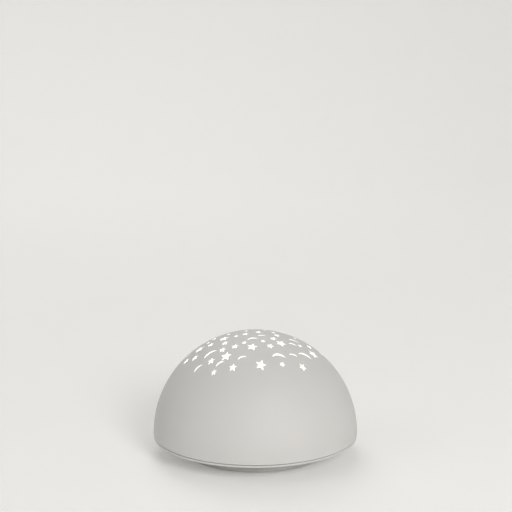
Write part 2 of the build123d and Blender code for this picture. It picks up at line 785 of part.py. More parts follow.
with BuildPart() as control_chip:
    with BuildSketch(Plane.XY.offset(led_board_top + chip_stand)):
        with Locations(chip_place):
            Rectangle(chip_length, chip_width)
    extrude(amount=chip_height)
    chamfer(control_chip.faces().sort_by(Axis.Z)[-1].edges(), length=chip_edge)
    with BuildSketch(Plane.XY.offset(led_board_top)):
        with Locations(chip_place):
            with GridLocations(chip_leg_pitch, chip_width + chip_leg_reach, chip_legs, 2):
                Rectangle(chip_leg_width, 2 * chip_leg_reach)
    extrude(amount=chip_stand + chip_leg_width)
export(control_chip, "control_chip")

with BuildPart() as board_capacitor:
    with BuildSketch(Plane.XY.offset(led_board_top)):
        with Locations(capacitor_place):
            Circle(capacitor_radius)
    extrude(amount=capacitor_height)
    fillet(board_capacitor.edges().sort_by(Axis.Z)[-1], radius=capacitor_rounding)
export(board_capacitor, "board_capacitor")

with BuildPart() as wire_header:
    with BuildSketch(Plane.XY.offset(led_board_top)):
        with Locations(header_place):
            Rectangle(header_length, header_width)
    extrude(amount=header_height)
    chamfer(wire_header.faces().sort_by(Axis.Z)[-1].edges(), length=header_edge)
export(wire_header, "wire_header")

with BuildPart(Plane.XY.offset(led_board_top)) as led_board_screws:
    with PolarLocations(standoff_circle, standoff_count, start_angle=standoff_start_angle):
        add(board_screw)
export(led_board_screws, "led_board_screws")


# ---------------------------------------------------------------- button board and buttons

with BuildPart() as button_board:
    with BuildSketch(Plane.back.offset(pillar_face)):
        with Locations((0, button_height)):
            RectangleRounded(button_board_width, button_board_height, board_corner)
        with Locations(*pillar_screw_places):
            Circle(m2_shank + guide_gap, mode=Mode.SUBTRACT)
    extrude(amount=board_thickness)
export(button_board, "button_board")

with BuildPart(Plane.back.offset(button_board_face)) as button_board_screws:
    with Locations(*pillar_screw_places):
        add(board_screw)
export(button_board_screws, "button_board_screws")

for name, x in zip(("power", "colour"), button_xs):
    with BuildPart() as switch_case:
        with BuildSketch(Plane.back.offset(button_board_face)):
            with Locations((-x, button_height)):
                RectangleRounded(switch_size, switch_size, switch_corner)
        extrude(amount=switch_depth)
        with BuildSketch(Plane.back.offset(switch_face)):
            with Locations((-x, button_height)):
                Circle(plunger_radius + guide_gap)
        extrude(amount=-(plunger_inside + button_travel + guide_gap), mode=Mode.SUBTRACT)
    export(switch_case, f"{name}_switch_case")

    with BuildPart() as plunger:
        with BuildSketch(Plane.back.offset(switch_face - plunger_inside)):
            with Locations((-x, button_height)):
                Circle(plunger_radius)
        extrude(amount=plunger_inside + plunger_reach)
    export(plunger, f"{name}_switch_plunger")

    with BuildPart() as button:
        # Cap, cut to follow the dome a little proud of it.
        with BuildSketch(Plane.back.offset(flange_back)):
            with Locations((-x, button_height)):
                Circle(button_radius)
        extrude(amount=dome_radius)
        with Locations((0, 0, dome_centre)):
            Sphere(dome_radius + button_proud, mode=Mode.INTERSECT)
        fillet(button.edges().sort_by(Axis.Y)[-1], radius=button_rounding)
        # Flange that stops it against its collar, and the stem that presses the switch.
        with BuildSketch(Plane.back.offset(flange_back)):
            with Locations((-x, button_height)):
                Circle(button_flange)
        extrude(amount=button_flange_thickness)
        with BuildSketch(Plane.back.offset(plunger_tip)):
            with Locations((-x, button_height)):
                Circle(button_stem_radius)
        extrude(amount=flange_back - plunger_tip)
    export(button, f"{name}_button")


# ---------------------------------------------------------------- case screws and wires

with BuildPart(Plane((0, 0, post_seat_height), z_dir=downwards)) as housing_screws:
    with PolarLocations(post_circle, post_count, start_angle=post_start_angle):
        add(case_screw)
export(housing_screws, "housing_screws")

# Each battery wire loops up from its plate's tab and down to the lamp board.
for name, side in (("red", 1), ("black", -1)):
    tab_y = cell_ys[-1] if side > 0 else cell_ys[0]
    route = (
        (side * tab_x, tab_y, tab_top),
        (side * tab_x, tab_y, tab_top + 7.8),
        (side * (tab_x - 3.0), side * 14.1, tab_top + 13.8),
        (side * 19.6, side * 12.8, tab_top + 14.2),
        (side * 17.0, side * 12.2, led_board_top + 6.8),
        (side * 17.0, side * 12.2, led_board_top),
    )
    export(wire_tube(route, wire_radius), f"battery_wire_{name}")

# Three wires side by side, out of the header's top and on to the back board's inner face.
strands = []
for strand in (-1, 0, 1):
    x = header_place[0] + strand * signal_wire_pitch
    y = header_place[1]
    header_top = led_board_top + header_height
    route = (
        (x, y, header_top),
        (x, y, header_top + 6.3),
        (x + 1.0, y + 5.5, header_top + 11.0),
        (x + 3.0, y + 15.0, header_top + 10.4),
        (x + 5.4, y + 23.5, header_top + 3.5),
        (x + 6.8, pillar_face - 7.0, button_height),
        (x + 6.8, pillar_face, button_height),
    )
    strands.append(wire_tube(route, signal_wire_radius).part)
with BuildPart() as button_wires:
    add(strands)
export(button_wires, "button_wires")
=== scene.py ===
"""Looks of the star night light: a lit, pierced half-ball lamp on a battery base.

Everything is in metres in the frame of the packed model, with -Y to the front and the push buttons
at the back. The file is laid out as an add-on: settings, one operator for each piece or group of
pieces and one for the stage, and a panel that lists them.
"""

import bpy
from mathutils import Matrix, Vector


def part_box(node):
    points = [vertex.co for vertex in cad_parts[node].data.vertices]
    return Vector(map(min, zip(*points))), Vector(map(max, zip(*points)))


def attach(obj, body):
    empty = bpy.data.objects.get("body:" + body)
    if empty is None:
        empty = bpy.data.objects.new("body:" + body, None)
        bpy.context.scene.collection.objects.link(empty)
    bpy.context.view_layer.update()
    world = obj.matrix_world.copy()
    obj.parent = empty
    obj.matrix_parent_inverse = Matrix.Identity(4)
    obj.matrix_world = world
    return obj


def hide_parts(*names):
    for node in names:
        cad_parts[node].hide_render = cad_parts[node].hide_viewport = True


bl_info = {
    "name": "Star Night Light",
    "version": (1, 0, 0),
    "blender": (4, 5, 0),
    "location": "View3D > Sidebar > Night Light",
    "description": "Finishes the pieces of a battery star night light and sets a studio round it",
    "category": "Object",
}

import math

import bpy
from bpy.props import FloatProperty, FloatVectorProperty, IntProperty, PointerProperty
from mathutils import Vector
from mathutils.geometry import delaunay_2d_cdt

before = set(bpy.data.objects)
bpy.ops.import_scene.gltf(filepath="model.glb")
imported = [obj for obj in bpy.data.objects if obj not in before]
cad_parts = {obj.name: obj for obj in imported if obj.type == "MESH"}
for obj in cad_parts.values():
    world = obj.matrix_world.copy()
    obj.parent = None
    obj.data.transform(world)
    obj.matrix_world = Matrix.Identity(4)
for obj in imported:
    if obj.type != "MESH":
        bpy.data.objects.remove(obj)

MM = 0.001
UP = Vector((0, 0, 1))
BACK = Vector((0, 1, 0))
LIT_WHITE = "#FFFDFA"            # the lamps' light through the frosted window

# How finely pieces are drawn
SMOOTH_ANGLE = math.radians(32)  # edges that turn more than this are sharp
ROUND = {"dome": 288, "stage": 128, "button": 72, "cell": 56, "foot": 48, "post": 48, "peg": 32}
EDGE_STEPS = 3                   # bands over the broken edge of an opening
CAP_STEPS = 5                    # bands over the rounding of a button's cap
ARC_STEPS = 4                    # bands over any other small rounding
OUTER_SPACING = 3.6 * MM         # between corners of the dome's outer skin
INNER_SPACING = 4.5 * MM
ROW_STEP = 0.866                 # between rows of even triangles, over their spacing
RIM_GAP = 0.5                    # from the skirt to the nearest of them, over their spacing
OPENING_GAP = 0.25               # from an opening, over their spacing
MERGE_GAP = 1e-9                 # corners nearer than this are one
MITRE_LIMIT = 0.3                # no mitre is longer than one over this

# Sizes of the shell that its box doesn't tell
DOME_WALL = 2.2 * MM
SKIRT_ROUNDING = 0.3 * MM
BUTTON_HOLE = 4.8 * MM
COLLAR_RADIUS = 7.0 * MM
COLLAR_FACE = 58.60 * MM
CAP_BALL = 68.4 * MM             # the caps follow a ball about the dome's centre
CAP_RADIUS = 4.5 * MM
POST_CIRCLE = 55.0 * MM
POST_RADIUS = 3.2 * MM
POST_FOOT = 13.7 * MM
POST_EDGE = 0.2 * MM
PILOT_RADIUS = 1.35 * MM
PILOT_EDGE = 0.3 * MM            # sunk edge that the screw finds
PILOT_TOP = 23.2 * MM
PEG_ANGLE = math.radians(49.8)
PEG_RADIUS = 1.0 * MM
PEG_HEAD_RADIUS = 1.7 * MM
PEG_HEAD_HEIGHT = 0.7 * MM
PEG_HEAD_TOP = 63.85 * MM        # from the dome's centre
DOOR_FACE = 2.8 * MM             # inner face of the battery door
GRIP_START = 9.0 * MM            # first ridge, from the middle towards the back
GRIP_SINK = 0.22 * MM            # how deep the middle of a ridge lies in the door

# Screws: where they stand, and the sizes of the small ones
CASE_SCREW_SEAT = 10.2 * MM      # height of the heads in their wells
LAMP_SCREW_CIRCLE = 16.0 * MM
SWITCH_SCREW_ASIDE = 14.0 * MM
SWITCH_SCREW_HEIGHT = 23.0 * MM
BOARD_SCREW = {"head_radius": 2.0 * MM, "head_height": 1.2 * MM, "shank_radius": 1.0 * MM,
               "length": 5.0 * MM, "pitch": 0.7 * MM}
DOOR_SCREW = {"head_radius": 2.7 * MM, "head_height": 1.1 * MM, "shank_radius": 1.4 * MM,
              "length": 4.2 * MM, "pitch": 0.6 * MM}

# The star field from above, in millimetres
STAR_TURN = math.radians(4)
CRESCENT_TURN = math.radians(12)
OUTER_RISE = 0.35                # of a crescent's arcs, over its length
INNER_RISE = 0.17
STAR_SIZES = {"big": 3.75, "middle": 2.65, "small": 1.98}       # from the middle to a tip
CRESCENT_SIZES = {"long": 8.6, "middle": 7.4, "short": 5.6}     # from tip to tip
STARS = {
    "big": ((-2, -23.5), (-18.5, -28.5), (3.5, -38.5), (16.5, -15.5), (-36.5, -4), (37.5, -10.5),
            (-20.5, -5), (-8, 16), (20.5, 12.5), (-27, 24), (5.5, 32.5), (33, 20), (-40, 10.5)),
    "middle": ((2, -0.5), (-39, -13.5), (-28, -27.5), (-14, -38.5), (-45, -7.5), (30, -31),
               (35.5, -0.5), (9.5, -21.5), (-19.5, -13.5), (-21, -21), (-13, -21), (-29, -7),
               (-6.5, -4.5), (11.5, -11), (14, -3.5), (6, 9.5), (-27, 4), (43.5, 5.5),
               (11.5, 21.5), (-3.5, 25.5), (-17, 30.5), (25, 30), (-35, 18.5), (-5, 40.5),
               (17, 40), (38, 12)),
    "small": ((-12.5, -6), (5, -16.5), (-7, -18), (-31, 0.5), (29, -9), (17, -35.5), (-26, -37),
              (-17.5, 3), (-6, 4), (12, 2.5), (26, 4), (0.5, 17), (-20, 18), (-28, 35.5),
              (34, 28.5), (22, 21), (-12.5, 23.5), (6.5, 43.5)),
}
CRESCENTS = {
    "long": ((-29, -18.5), (14.5, -28.5), (31.5, -18), (-28, 14), (15, 30.5), (-10, 34.5)),
    "middle": ((-2, -12.5), (25, -3.5), (-15.5, 10.5), (28.5, 11.5), (3, 24)),
    "short": ((4, -7.5), (24, -11), (-8.5, -32), (24, -24), (-22.5, -32), (-36.5, -26),
              (-0.5, 9.5), (-37, 26.5), (-44, 2), (26, 36.5), (14, 14)),
}

# Raised signs on the buttons, in millimetres and degrees
POWER_RING = 1.75
POWER_GAP = 38                   # between the ring's ends and the bar
POWER_RING_POINTS = 17
POWER_BAR = (0.2, 1.2, 2.2)      # heights above the button's middle
TRIO_RING = 0.72
TRIO_RING_POINTS = 8
TRIO_CIRCLE = 1.25               # the three rings' middles lie on it
TRIO_DROP = 0.1

# Raised outlines inside the door, round a cell's middle with its nub to the right, in millimetres
SIGN_RADIUS = 0.2                # half the width of a stroke
SIGN_STROKES = (
    ((-20, -4.5), (19, -4.5), (19, -2), (20.5, -2), (20.5, 2), (19, 2), (19, 4.5), (-20, 4.5),
     (-20, -4.5)),
    ((11, 0), (16, 0)),
    ((13.5, -2.5), (13.5, 2.5)),
    ((-16, 0), (-11, 0)),
)

# The studio, in metres
FLOOR_RINGS = (43.0 * MM, 0.06, 0.1, 0.2, 0.5, 1.6)  # the first is a hole hidden by the base
WALL_BEND = 1.2
WALL_TOP = 3.0
LAMP_TARGET = (0.0, 0.0, 0.04)
LAMPS = {                        # place, and width of the soft box
    "key": ((0.66, -1.5, 0.84), 0.6),
    "fill": ((-1.6, -0.6, 1.3), 1.0),
    "top": ((0.3, 0.3, 2.4), 1.4),
    "back": ((-0.4, 1.8, 1.9), 1.4),
    "under": ((0.5, 0.4, -1.3), 1.0),
}
BACKGROUND = 0.86                # the world as the camera sees it
VIEW_DISTANCE = 0.8              # from the dome's centre
VIEW_RISE = math.radians(17.77)
VIEW_PITCH = math.radians(90 - 9.409)
VIEW_ASIDE = 0.451 * MM


# ---------------------------------------------------------------- colours and shader nodes

def linear(hex_colour):
    """An sRGB hex colour as linear RGBA."""
    channels = [int(hex_colour[i:i + 2], 16) / 255 for i in (1, 3, 5)]
    return [c / 12.92 if c <= 0.04045 else ((c + 0.055) / 1.055) ** 2.4 for c in channels] + [1.0]


def add_node(tree, kind, inputs=None, **settings):
    """Add a node; inputs maps sockets to values, output sockets or nodes.

    A node stands for its first output.
    """
    node = tree.nodes.new(kind)
    for name, value in settings.items():
        setattr(node, name, value)
    for key, value in (inputs or {}).items():
        if isinstance(value, bpy.types.Node):
            value = value.outputs[0]
        if isinstance(value, bpy.types.NodeSocket):
            tree.links.new(value, node.inputs[key])
        else:
            node.inputs[key].default_value = value
    return node


def finish(name, colour, roughness, **sockets):
    """A material with one Principled shader; further sockets by name, with _ for a space."""
    material = bpy.data.materials.new(name)
    material.use_nodes = True
    shader = material.node_tree.nodes["Principled BSDF"]
    shader.inputs["Base Color"].default_value = list(colour)[:3] + [1.0]
    shader.inputs["Roughness"].default_value = roughness
    for socket, value in sockets.items():
        shader.inputs[socket.replace("_", " ")].default_value = value
    return material, material.node_tree, shader


def grain(tree, shader, size, depth, detail=3.0):
    """Raise a random grain of a size and depth in metres."""
    place = add_node(tree, "ShaderNodeTexCoord")
    cloud = add_node(tree, "ShaderNodeTexNoise", {
        "Vector": place.outputs["Object"], "Scale": 1 / size, "Detail": detail, "Roughness": 0.55})
    raised = add_node(tree, "ShaderNodeBump", {"Height": cloud, "Distance": depth, "Strength": 1.0})
    tree.links.new(raised.outputs["Normal"], shader.inputs["Normal"])


def mottle(tree, shader, socket, size, low, high, detail=3.0):
    """Let a socket drift between two numbers or colours, in blotches of a size in metres."""
    place = add_node(tree, "ShaderNodeTexCoord")
    cloud = add_node(tree, "ShaderNodeTexNoise", {
        "Vector": place.outputs["Object"], "Scale": 1 / size, "Detail": detail, "Roughness": 0.55})
    spread(tree, shader, socket, cloud, low, high)


def spread(tree, shader, socket, factor, low, high):
    """Let a socket run from one number or colour to another with a factor."""
    if isinstance(low, float):
        made = add_node(tree, "ShaderNodeMapRange", {"Value": factor, "To Min": low, "To Max": high})
        tree.links.new(made.outputs["Result"], shader.inputs[socket])
    else:
        made = add_node(tree, "ShaderNodeMix", {0: factor, 6: low, 7: high}, data_type="RGBA")
        tree.links.new(made.outputs[2], shader.inputs[socket])


def tinted(colour, share):
    """A colour made lighter or darker by a share."""
    return [max(0.0, min(1.0, c * (1 + share))) for c in list(colour)[:3]] + [1.0]


# ---------------------------------------------------------------- materials

def moulded_abs(name, colour):
    """ABS, injection-moulded in a spark-eroded tool: a fine even grain that kills the gloss.

    The grain is 0.1 mm on the real thing; it is drawn at 0.9 mm, as fine as it still shows.
    """
    material, tree, shader = finish(name, colour, 0.5, IOR=1.54, Subsurface_Weight=0.04,
                                    Subsurface_Radius=(0.0012, 0.0010, 0.0009), Subsurface_Scale=1.0)
    mottle(tree, shader, "Base Color", 30 * MM, tinted(colour, -0.02), tinted(colour, 0.02), detail=2.0)
    mottle(tree, shader, "Roughness", 9 * MM, 0.54, 0.68, detail=4.0)
    grain(tree, shader, 0.9 * MM, 0.03 * MM, detail=2.0)
    return material


def painted_glow_abs(name, colour, glow, strength):
    """Smooth ABS on the wall of a cut-out, with a painted glow: its emission stands in for the lamps'
    light on it.
    """
    material, tree, shader = finish(name, colour, 0.4, IOR=1.54, Emission_Color=glow,
                                    Emission_Strength=strength)
    mottle(tree, shader, "Roughness", 2 * MM, 0.35, 0.45)
    return material


def satin_abs(name, colour):
    """ABS moulded in a finer, vapour-blasted tool, as on push buttons: smoother to the finger."""
    material, tree, shader = finish(name, colour, 0.36, IOR=1.54)
    mottle(tree, shader, "Roughness", 3 * MM, 0.28, 0.42, detail=4.0)
    grain(tree, shader, 0.35 * MM, 0.006 * MM, detail=2.0)
    return material


def glowing_polystyrene(name, colour, strength):
    """Clear polystyrene, frosted on its inside and lit by the lamps: an even white glow."""
    material, tree, shader = finish(name, colour, 0.35, IOR=1.59, Emission_Strength=strength,
                                    Emission_Color=linear(LIT_WHITE))
    mottle(tree, shader, "Roughness", 4 * MM, 0.3, 0.42)
    grain(tree, shader, 0.6 * MM, 0.01 * MM, detail=2.0)
    return material


def solder_mask(name, colour):
    """Glass-fibre laminate under green solder mask: copper tracks show as a lighter, raised net."""
    material, tree, shader = finish(name, colour, 0.28, IOR=1.55, Coat_Weight=0.4, Coat_Roughness=0.12)
    place = add_node(tree, "ShaderNodeTexCoord")
    turned = add_node(tree, "ShaderNodeMapping", {
        "Vector": place.outputs["Object"], "Rotation": (0.0, 0.0, math.radians(45))})
    tracks = add_node(tree, "ShaderNodeTexBrick", {
        "Vector": turned, "Scale": 1 / (10 * MM), "Mortar Size": 0.035,
        "Mortar Smooth": 0.2, "Brick Width": 0.62, "Row Height": 0.24}, offset=0.37, squash=0.7)
    spread(tree, shader, "Base Color", tracks.outputs["Fac"], tinted(colour, -0.18),
           tinted(colour, 0.55))
    raised = add_node(tree, "ShaderNodeBump", {
        "Height": tracks.outputs["Fac"], "Distance": 0.035 * MM, "Strength": 1.0})
    tree.links.new(raised.outputs["Normal"], shader.inputs["Normal"])
    return material


def tinted_epoxy(name, colour):
    """Cast epoxy of a lamp body, dyed through: glassy, with light caught in its dome."""
    material, tree, shader = finish(name, colour, 0.08, IOR=1.52, Transmission_Weight=0.55,
                                    Emission_Color=list(colour)[:3] + [1.0], Emission_Strength=0.35)
    mottle(tree, shader, "Roughness", 2 * MM, 0.05, 0.14)
    return material


def black_epoxy(name, colour):
    """Filled epoxy, transfer-moulded round a chip or switch: dull, with faint ejector bloom."""
    material, tree, shader = finish(name, colour, 0.55, IOR=1.55)
    mottle(tree, shader, "Base Color", 1.5 * MM, tinted(colour, -0.2), tinted(colour, 0.35))
    grain(tree, shader, 0.15 * MM, 0.006 * MM)
    return material


def fired_ceramic(name, colour):
    """Fired alumina with a glass-paste top, as on chip resistors: grainy and a little glossy."""
    material, tree, shader = finish(name, colour, 0.35, IOR=1.7)
    mottle(tree, shader, "Roughness", 0.4 * MM, 0.25, 0.5)
    return material


def shrunk_sleeve(name, colour):
    """PVC sleeve shrunk on a can: thin and glossy, with slight waves from the heat."""
    material, tree, shader = finish(name, colour, 0.22, IOR=1.53, Coat_Weight=0.5, Coat_Roughness=0.1)
    grain(tree, shader, 4 * MM, 0.05 * MM, detail=1.0)
    return material


def moulded_nylon(name, colour):
    """Unfilled nylon or acetal, moulded and slightly waxy, with light sinking into it."""
    material, tree, shader = finish(name, colour, 0.42, IOR=1.53, Subsurface_Weight=0.15,
                                    Subsurface_Radius=(0.0008, 0.0007, 0.0005), Subsurface_Scale=1.0)
    mottle(tree, shader, "Roughness", 1.2 * MM, 0.35, 0.5)
    return material


def nickel_plate(name, colour):
    """Bright nickel over rolled spring steel: a mirror dulled by fine rolling lines along X."""
    material, tree, shader = finish(name, colour, 0.22, Metallic=1.0)
    place = add_node(tree, "ShaderNodeTexCoord")
    drawn = add_node(tree, "ShaderNodeMapping", {
        "Vector": place.outputs["Object"], "Scale": (0.08, 1.0, 1.0)})
    lines = add_node(tree, "ShaderNodeTexNoise", {
        "Vector": drawn, "Scale": 1 / (0.25 * MM), "Detail": 3.0})
    spread(tree, shader, "Roughness", lines, 0.14, 0.34)
    return material


def zinc_plate(name, colour):
    """Zinc plate with a blue passivate over cold-headed steel: soft metal sheen, a little mottled."""
    material, tree, shader = finish(name, colour, 0.34, Metallic=1.0)
    mottle(tree, shader, "Base Color", 1.1 * MM, tinted(colour, -0.12), tinted(colour, 0.10))
    mottle(tree, shader, "Roughness", 0.5 * MM, 0.26, 0.44)
    return material


def silicone_rubber(name, colour):
    """Silicone rubber, press-moulded: soft and matte, with lint caught on its face."""
    material, tree, shader = finish(name, colour, 0.72, IOR=1.41, Sheen_Weight=0.25,
                                    Sheen_Roughness=0.5)
    mottle(tree, shader, "Base Color", 0.8 * MM, tinted(colour, -0.15), tinted(colour, 0.45),
           detail=5.0)
    grain(tree, shader, 0.4 * MM, 0.015 * MM)
    return material


def extruded_pvc(name, colour):
    """PVC drawn over stranded copper: smooth and soft, its lay just telling through."""
    material, tree, shader = finish(name, colour, 0.35, IOR=1.53)
    grain(tree, shader, 1.0 * MM, 0.03 * MM, detail=1.0)
    return material


# ---------------------------------------------------------------- meshes

def round_ring(middle, axis, radius, count, ball=None):
    """Places round an axis, anticlockwise seen from its tip.

    With a ball, (centre, radius), each is carried along the axis to where it leaves the ball.
    """
    side = axis.orthogonal().normalized()
    across = axis.cross(side)
    places = []
    for i in range(count):
        angle = 2 * math.pi * i / count
        place = middle + radius * (math.cos(angle) * side + math.sin(angle) * across)
        if ball:
            away = place - ball[0]
            deep = away.dot(axis)
            place = place + axis * (math.sqrt(deep ** 2 - away.length_squared + ball[1] ** 2) - deep)
        places.append(place)
    return places


def around(radius, first, count, height=0.0):
    """Places evenly round the dome's axis, the first at an angle in degrees."""
    angles = [math.radians(first + 360 * i / count) for i in range(count)]
    return [Vector((radius * math.cos(a), radius * math.sin(a), height)) for a in angles]


def rounded_edge(radius, steps):
    """How far short of its corner, and how deep, each ring over a rounded edge is."""
    leans = [math.radians(90 * step / steps) for step in range(steps + 1)]
    return [(radius * (1 - math.sin(a)), radius * (1 - math.cos(a))) for a in leans]


class Surface:
    """Places and faces gathered for one mesh, with a corner's normal where it is known."""

    def __init__(self):
        self.places, self.faces, self.normals, self.coats = [], [], [], []
        self.coat = 0            # which of the piece's materials the next faces get

    def put(self, places):
        """Add places and return their numbers."""
        first = len(self.places)
        self.places.extend(Vector(p) for p in places)
        return list(range(first, len(self.places)))

    def face(self, corners, normals=None):
        """One face, anticlockwise from outside; a repeated corner counts once."""
        given = zip(corners, normals or [Vector()] * len(corners))
        kept = [(c, n) for k, (c, n) in enumerate(given) if c not in corners[:k]]
        self.faces.append([c for c, _ in kept])
        self.normals.extend(n for _, n in kept)
        self.coats.append(self.coat)

    def band(self, near, far, near_normals=None, far_normals=None):
        """Faces between two rings, both anticlockwise seen from the far side."""
        count = len(near)
        for i in range(count):
            j = (i + 1) % count
            normals = near_normals and [near_normals[i], near_normals[j],
                                        far_normals[j], far_normals[i]]
            self.face([near[i], near[j], far[j], far[i]], normals)

    def ring(self, middle, axis, radius, count, ball=None):
        """A ring round an axis; one of no radius is its middle, repeated."""
        if radius == 0:
            return self.put(round_ring(middle, axis, 0, 1, ball)) * count
        return self.put(round_ring(middle, axis, radius, count, ball))

    def turned(self, profile, count, foot=(0, 0, 0), axis=UP):
        """Rings for the (radius, height) points of a profile, from its foot up."""
        return [self.ring(Vector(foot) + axis * height, axis, radius, count)
                for radius, height in profile]

    def cover(self, rings):
        """Faces from each ring to the next."""
        for near, far in zip(rings, rings[1:]):
            self.band(near, far)

    def finished(self, name, *materials):
        """The mesh as an object in the scene."""
        mesh = bpy.data.meshes.new(name)
        mesh.from_pydata(self.places, [], self.faces)
        mesh.polygons.foreach_set("material_index", self.coats)
        mesh.shade_smooth()
        mesh.set_sharp_from_angle(angle=SMOOTH_ANGLE)
        if any(n.length_squared for n in self.normals):
            mesh.normals_split_custom_set(self.normals)
        for material in materials:
            mesh.materials.append(material)
        return placed(name, mesh)


def arc_profile(centre, radius, start, end, steps):
    """Profile points on an arc, angles in degrees from straight out, turning upwards."""
    angles = [math.radians(start + (end - start) * i / steps) for i in range(steps + 1)]
    return [(centre[0] + radius * math.cos(a), centre[1] + radius * math.sin(a)) for a in angles]


def placed(name, data):
    """Put a mesh, curve, lamp or camera in the scene."""
    made = bpy.data.objects.new(name, data)
    bpy.context.scene.collection.objects.link(made)
    return made


def declare(piece, body, slot, *nodes):
    """Let a piece ride on a body and hide the CAD nodes it stands for; the slot is not used."""
    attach(piece, body)
    if nodes:
        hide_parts(*nodes)


def paint(material, *nodes):
    """Give CAD nodes, whose shape is right, their material."""
    for node in nodes:
        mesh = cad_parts[node].data
        mesh.materials.clear()
        mesh.materials.append(material)


def middle_of(node):
    """Middle of a CAD node's box."""
    low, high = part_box(node)
    return (Vector(low) + Vector(high)) / 2


def dome_centre():
    """Middle of the half ball."""
    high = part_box("dome_shell")[1]
    return Vector((0, 0, high[2] - high[0]))


# ---------------------------------------------------------------- geometry nodes

def geometry_tree(name, inputs):
    """A new geometry tree with named inputs; returns it with its input and output node."""
    tree = bpy.data.node_groups.new(name, "GeometryNodeTree")
    tree.interface.new_socket("Geometry", in_out="INPUT", socket_type="NodeSocketGeometry")
    for label, kind, default in inputs:
        socket = tree.interface.new_socket(label, in_out="INPUT", socket_type="NodeSocket" + kind)
        socket.default_value = default
    tree.interface.new_socket("Geometry", in_out="OUTPUT", socket_type="NodeSocketGeometry")
    return tree, add_node(tree, "NodeGroupInput").outputs, add_node(tree, "NodeGroupOutput")


def close_tree(tree, output, geometry, material):
    """End a tree in Realize Instances and Set Material."""
    real = add_node(tree, "GeometryNodeRealizeInstances", {"Geometry": geometry})
    dressed = add_node(tree, "GeometryNodeSetMaterial", {"Geometry": real, "Material": material})
    tree.links.new(dressed.outputs["Geometry"], output.inputs["Geometry"])


def grown(name, source, tree, **values):
    """Run a tree on a mesh or curve, its inputs given by name, and keep the result as a mesh."""
    holder = placed(name, source)
    modifier = holder.modifiers.new("Build", "NODES")
    modifier.node_group = tree
    for item in tree.interface.items_tree:
        key = item.name.replace(" ", "_").lower()
        if item.in_out == "INPUT" and key in values:
            modifier[item.identifier] = values[key]
    bpy.context.view_layer.update()
    depsgraph = bpy.context.evaluated_depsgraph_get()
    mesh = bpy.data.meshes.new_from_object(holder.evaluated_get(depsgraph), depsgraph=depsgraph)
    bpy.data.objects.remove(holder)
    mesh.shade_smooth()
    mesh.set_sharp_from_angle(angle=SMOOTH_ANGLE)
    return placed(name, mesh)


def points(places, **fields):
    """Bare points for a tree to stand things on, with a number at each for every field."""
    mesh = bpy.data.meshes.new("points")
    mesh.from_pydata([Vector(p).to_3d() for p in places], [], [])
    for name, numbers in fields.items():
        mesh.attributes.new(name, "FLOAT", "POINT").data.foreach_set("value", numbers)
    return mesh


def paths(routes, closed=False, order=3):
    """Smooth lines along routes of given points, as one curve."""
    curve = bpy.data.curves.new("paths", "CURVE")
    curve.dimensions = "3D"
    for route in routes:
        spline = curve.splines.new("NURBS")
        spline.points.add(len(route) - 1)
        for point, place in zip(spline.points, route):
            point.co = (*place, 1.0)
        spline.order_u = order
        spline.use_endpoint_u = not closed
        spline.use_cyclic_u = closed
        spline.resolution_u = 6
    return curve


def outline_instances(tree, given, curve):
    """Stand a unit outline on each point, at the point's own size and turn."""
    size = add_node(tree, "GeometryNodeInputNamedAttribute", {"Name": "size"}, data_type="FLOAT")
    turn = add_node(tree, "GeometryNodeInputNamedAttribute", {"Name": "turn"}, data_type="FLOAT")
    about = add_node(tree, "ShaderNodeCombineXYZ", {"Z": turn})
    stood = add_node(tree, "GeometryNodeInstanceOnPoints", {
        "Points": given["Geometry"], "Instance": curve, "Rotation": about, "Scale": size})
    return add_node(tree, "GeometryNodeRealizeInstances", {"Geometry": stood})


def star_outline_tree():
    """Flat outlines of stars, one on each point, with their tips and notches rounded."""
    tree, given, output = geometry_tree("Star outlines", [
        ("Tips", "Int", 5), ("Notch Share", "Float", 0.40), ("Tip Radius", "Float", 0.06 * MM),
        ("Notch Radius", "Float", 0.16 * MM), ("Steps", "Int", 5)])
    star = add_node(tree, "GeometryNodeCurveStar", {
        "Points": given["Tips"], "Inner Radius": given["Notch Share"], "Outer Radius": 1.0})
    stars = outline_instances(tree, given, star)
    corner = add_node(tree, "GeometryNodeInputIndex")
    odd = add_node(tree, "ShaderNodeMath", {0: corner, 1: 2.0}, operation="MODULO")
    radius = add_node(tree, "ShaderNodeMapRange", {
        "Value": odd, "To Min": given["Tip Radius"], "To Max": given["Notch Radius"]})
    rounded = add_node(tree, "GeometryNodeFilletCurve", {
        "Curve": stars, "Count": given["Steps"], "Radius": radius,
        "Limit Radius": True}, mode="POLY")
    wire = add_node(tree, "GeometryNodeCurveToMesh", {"Curve": rounded})
    close_tree(tree, output, wire, None)
    return tree


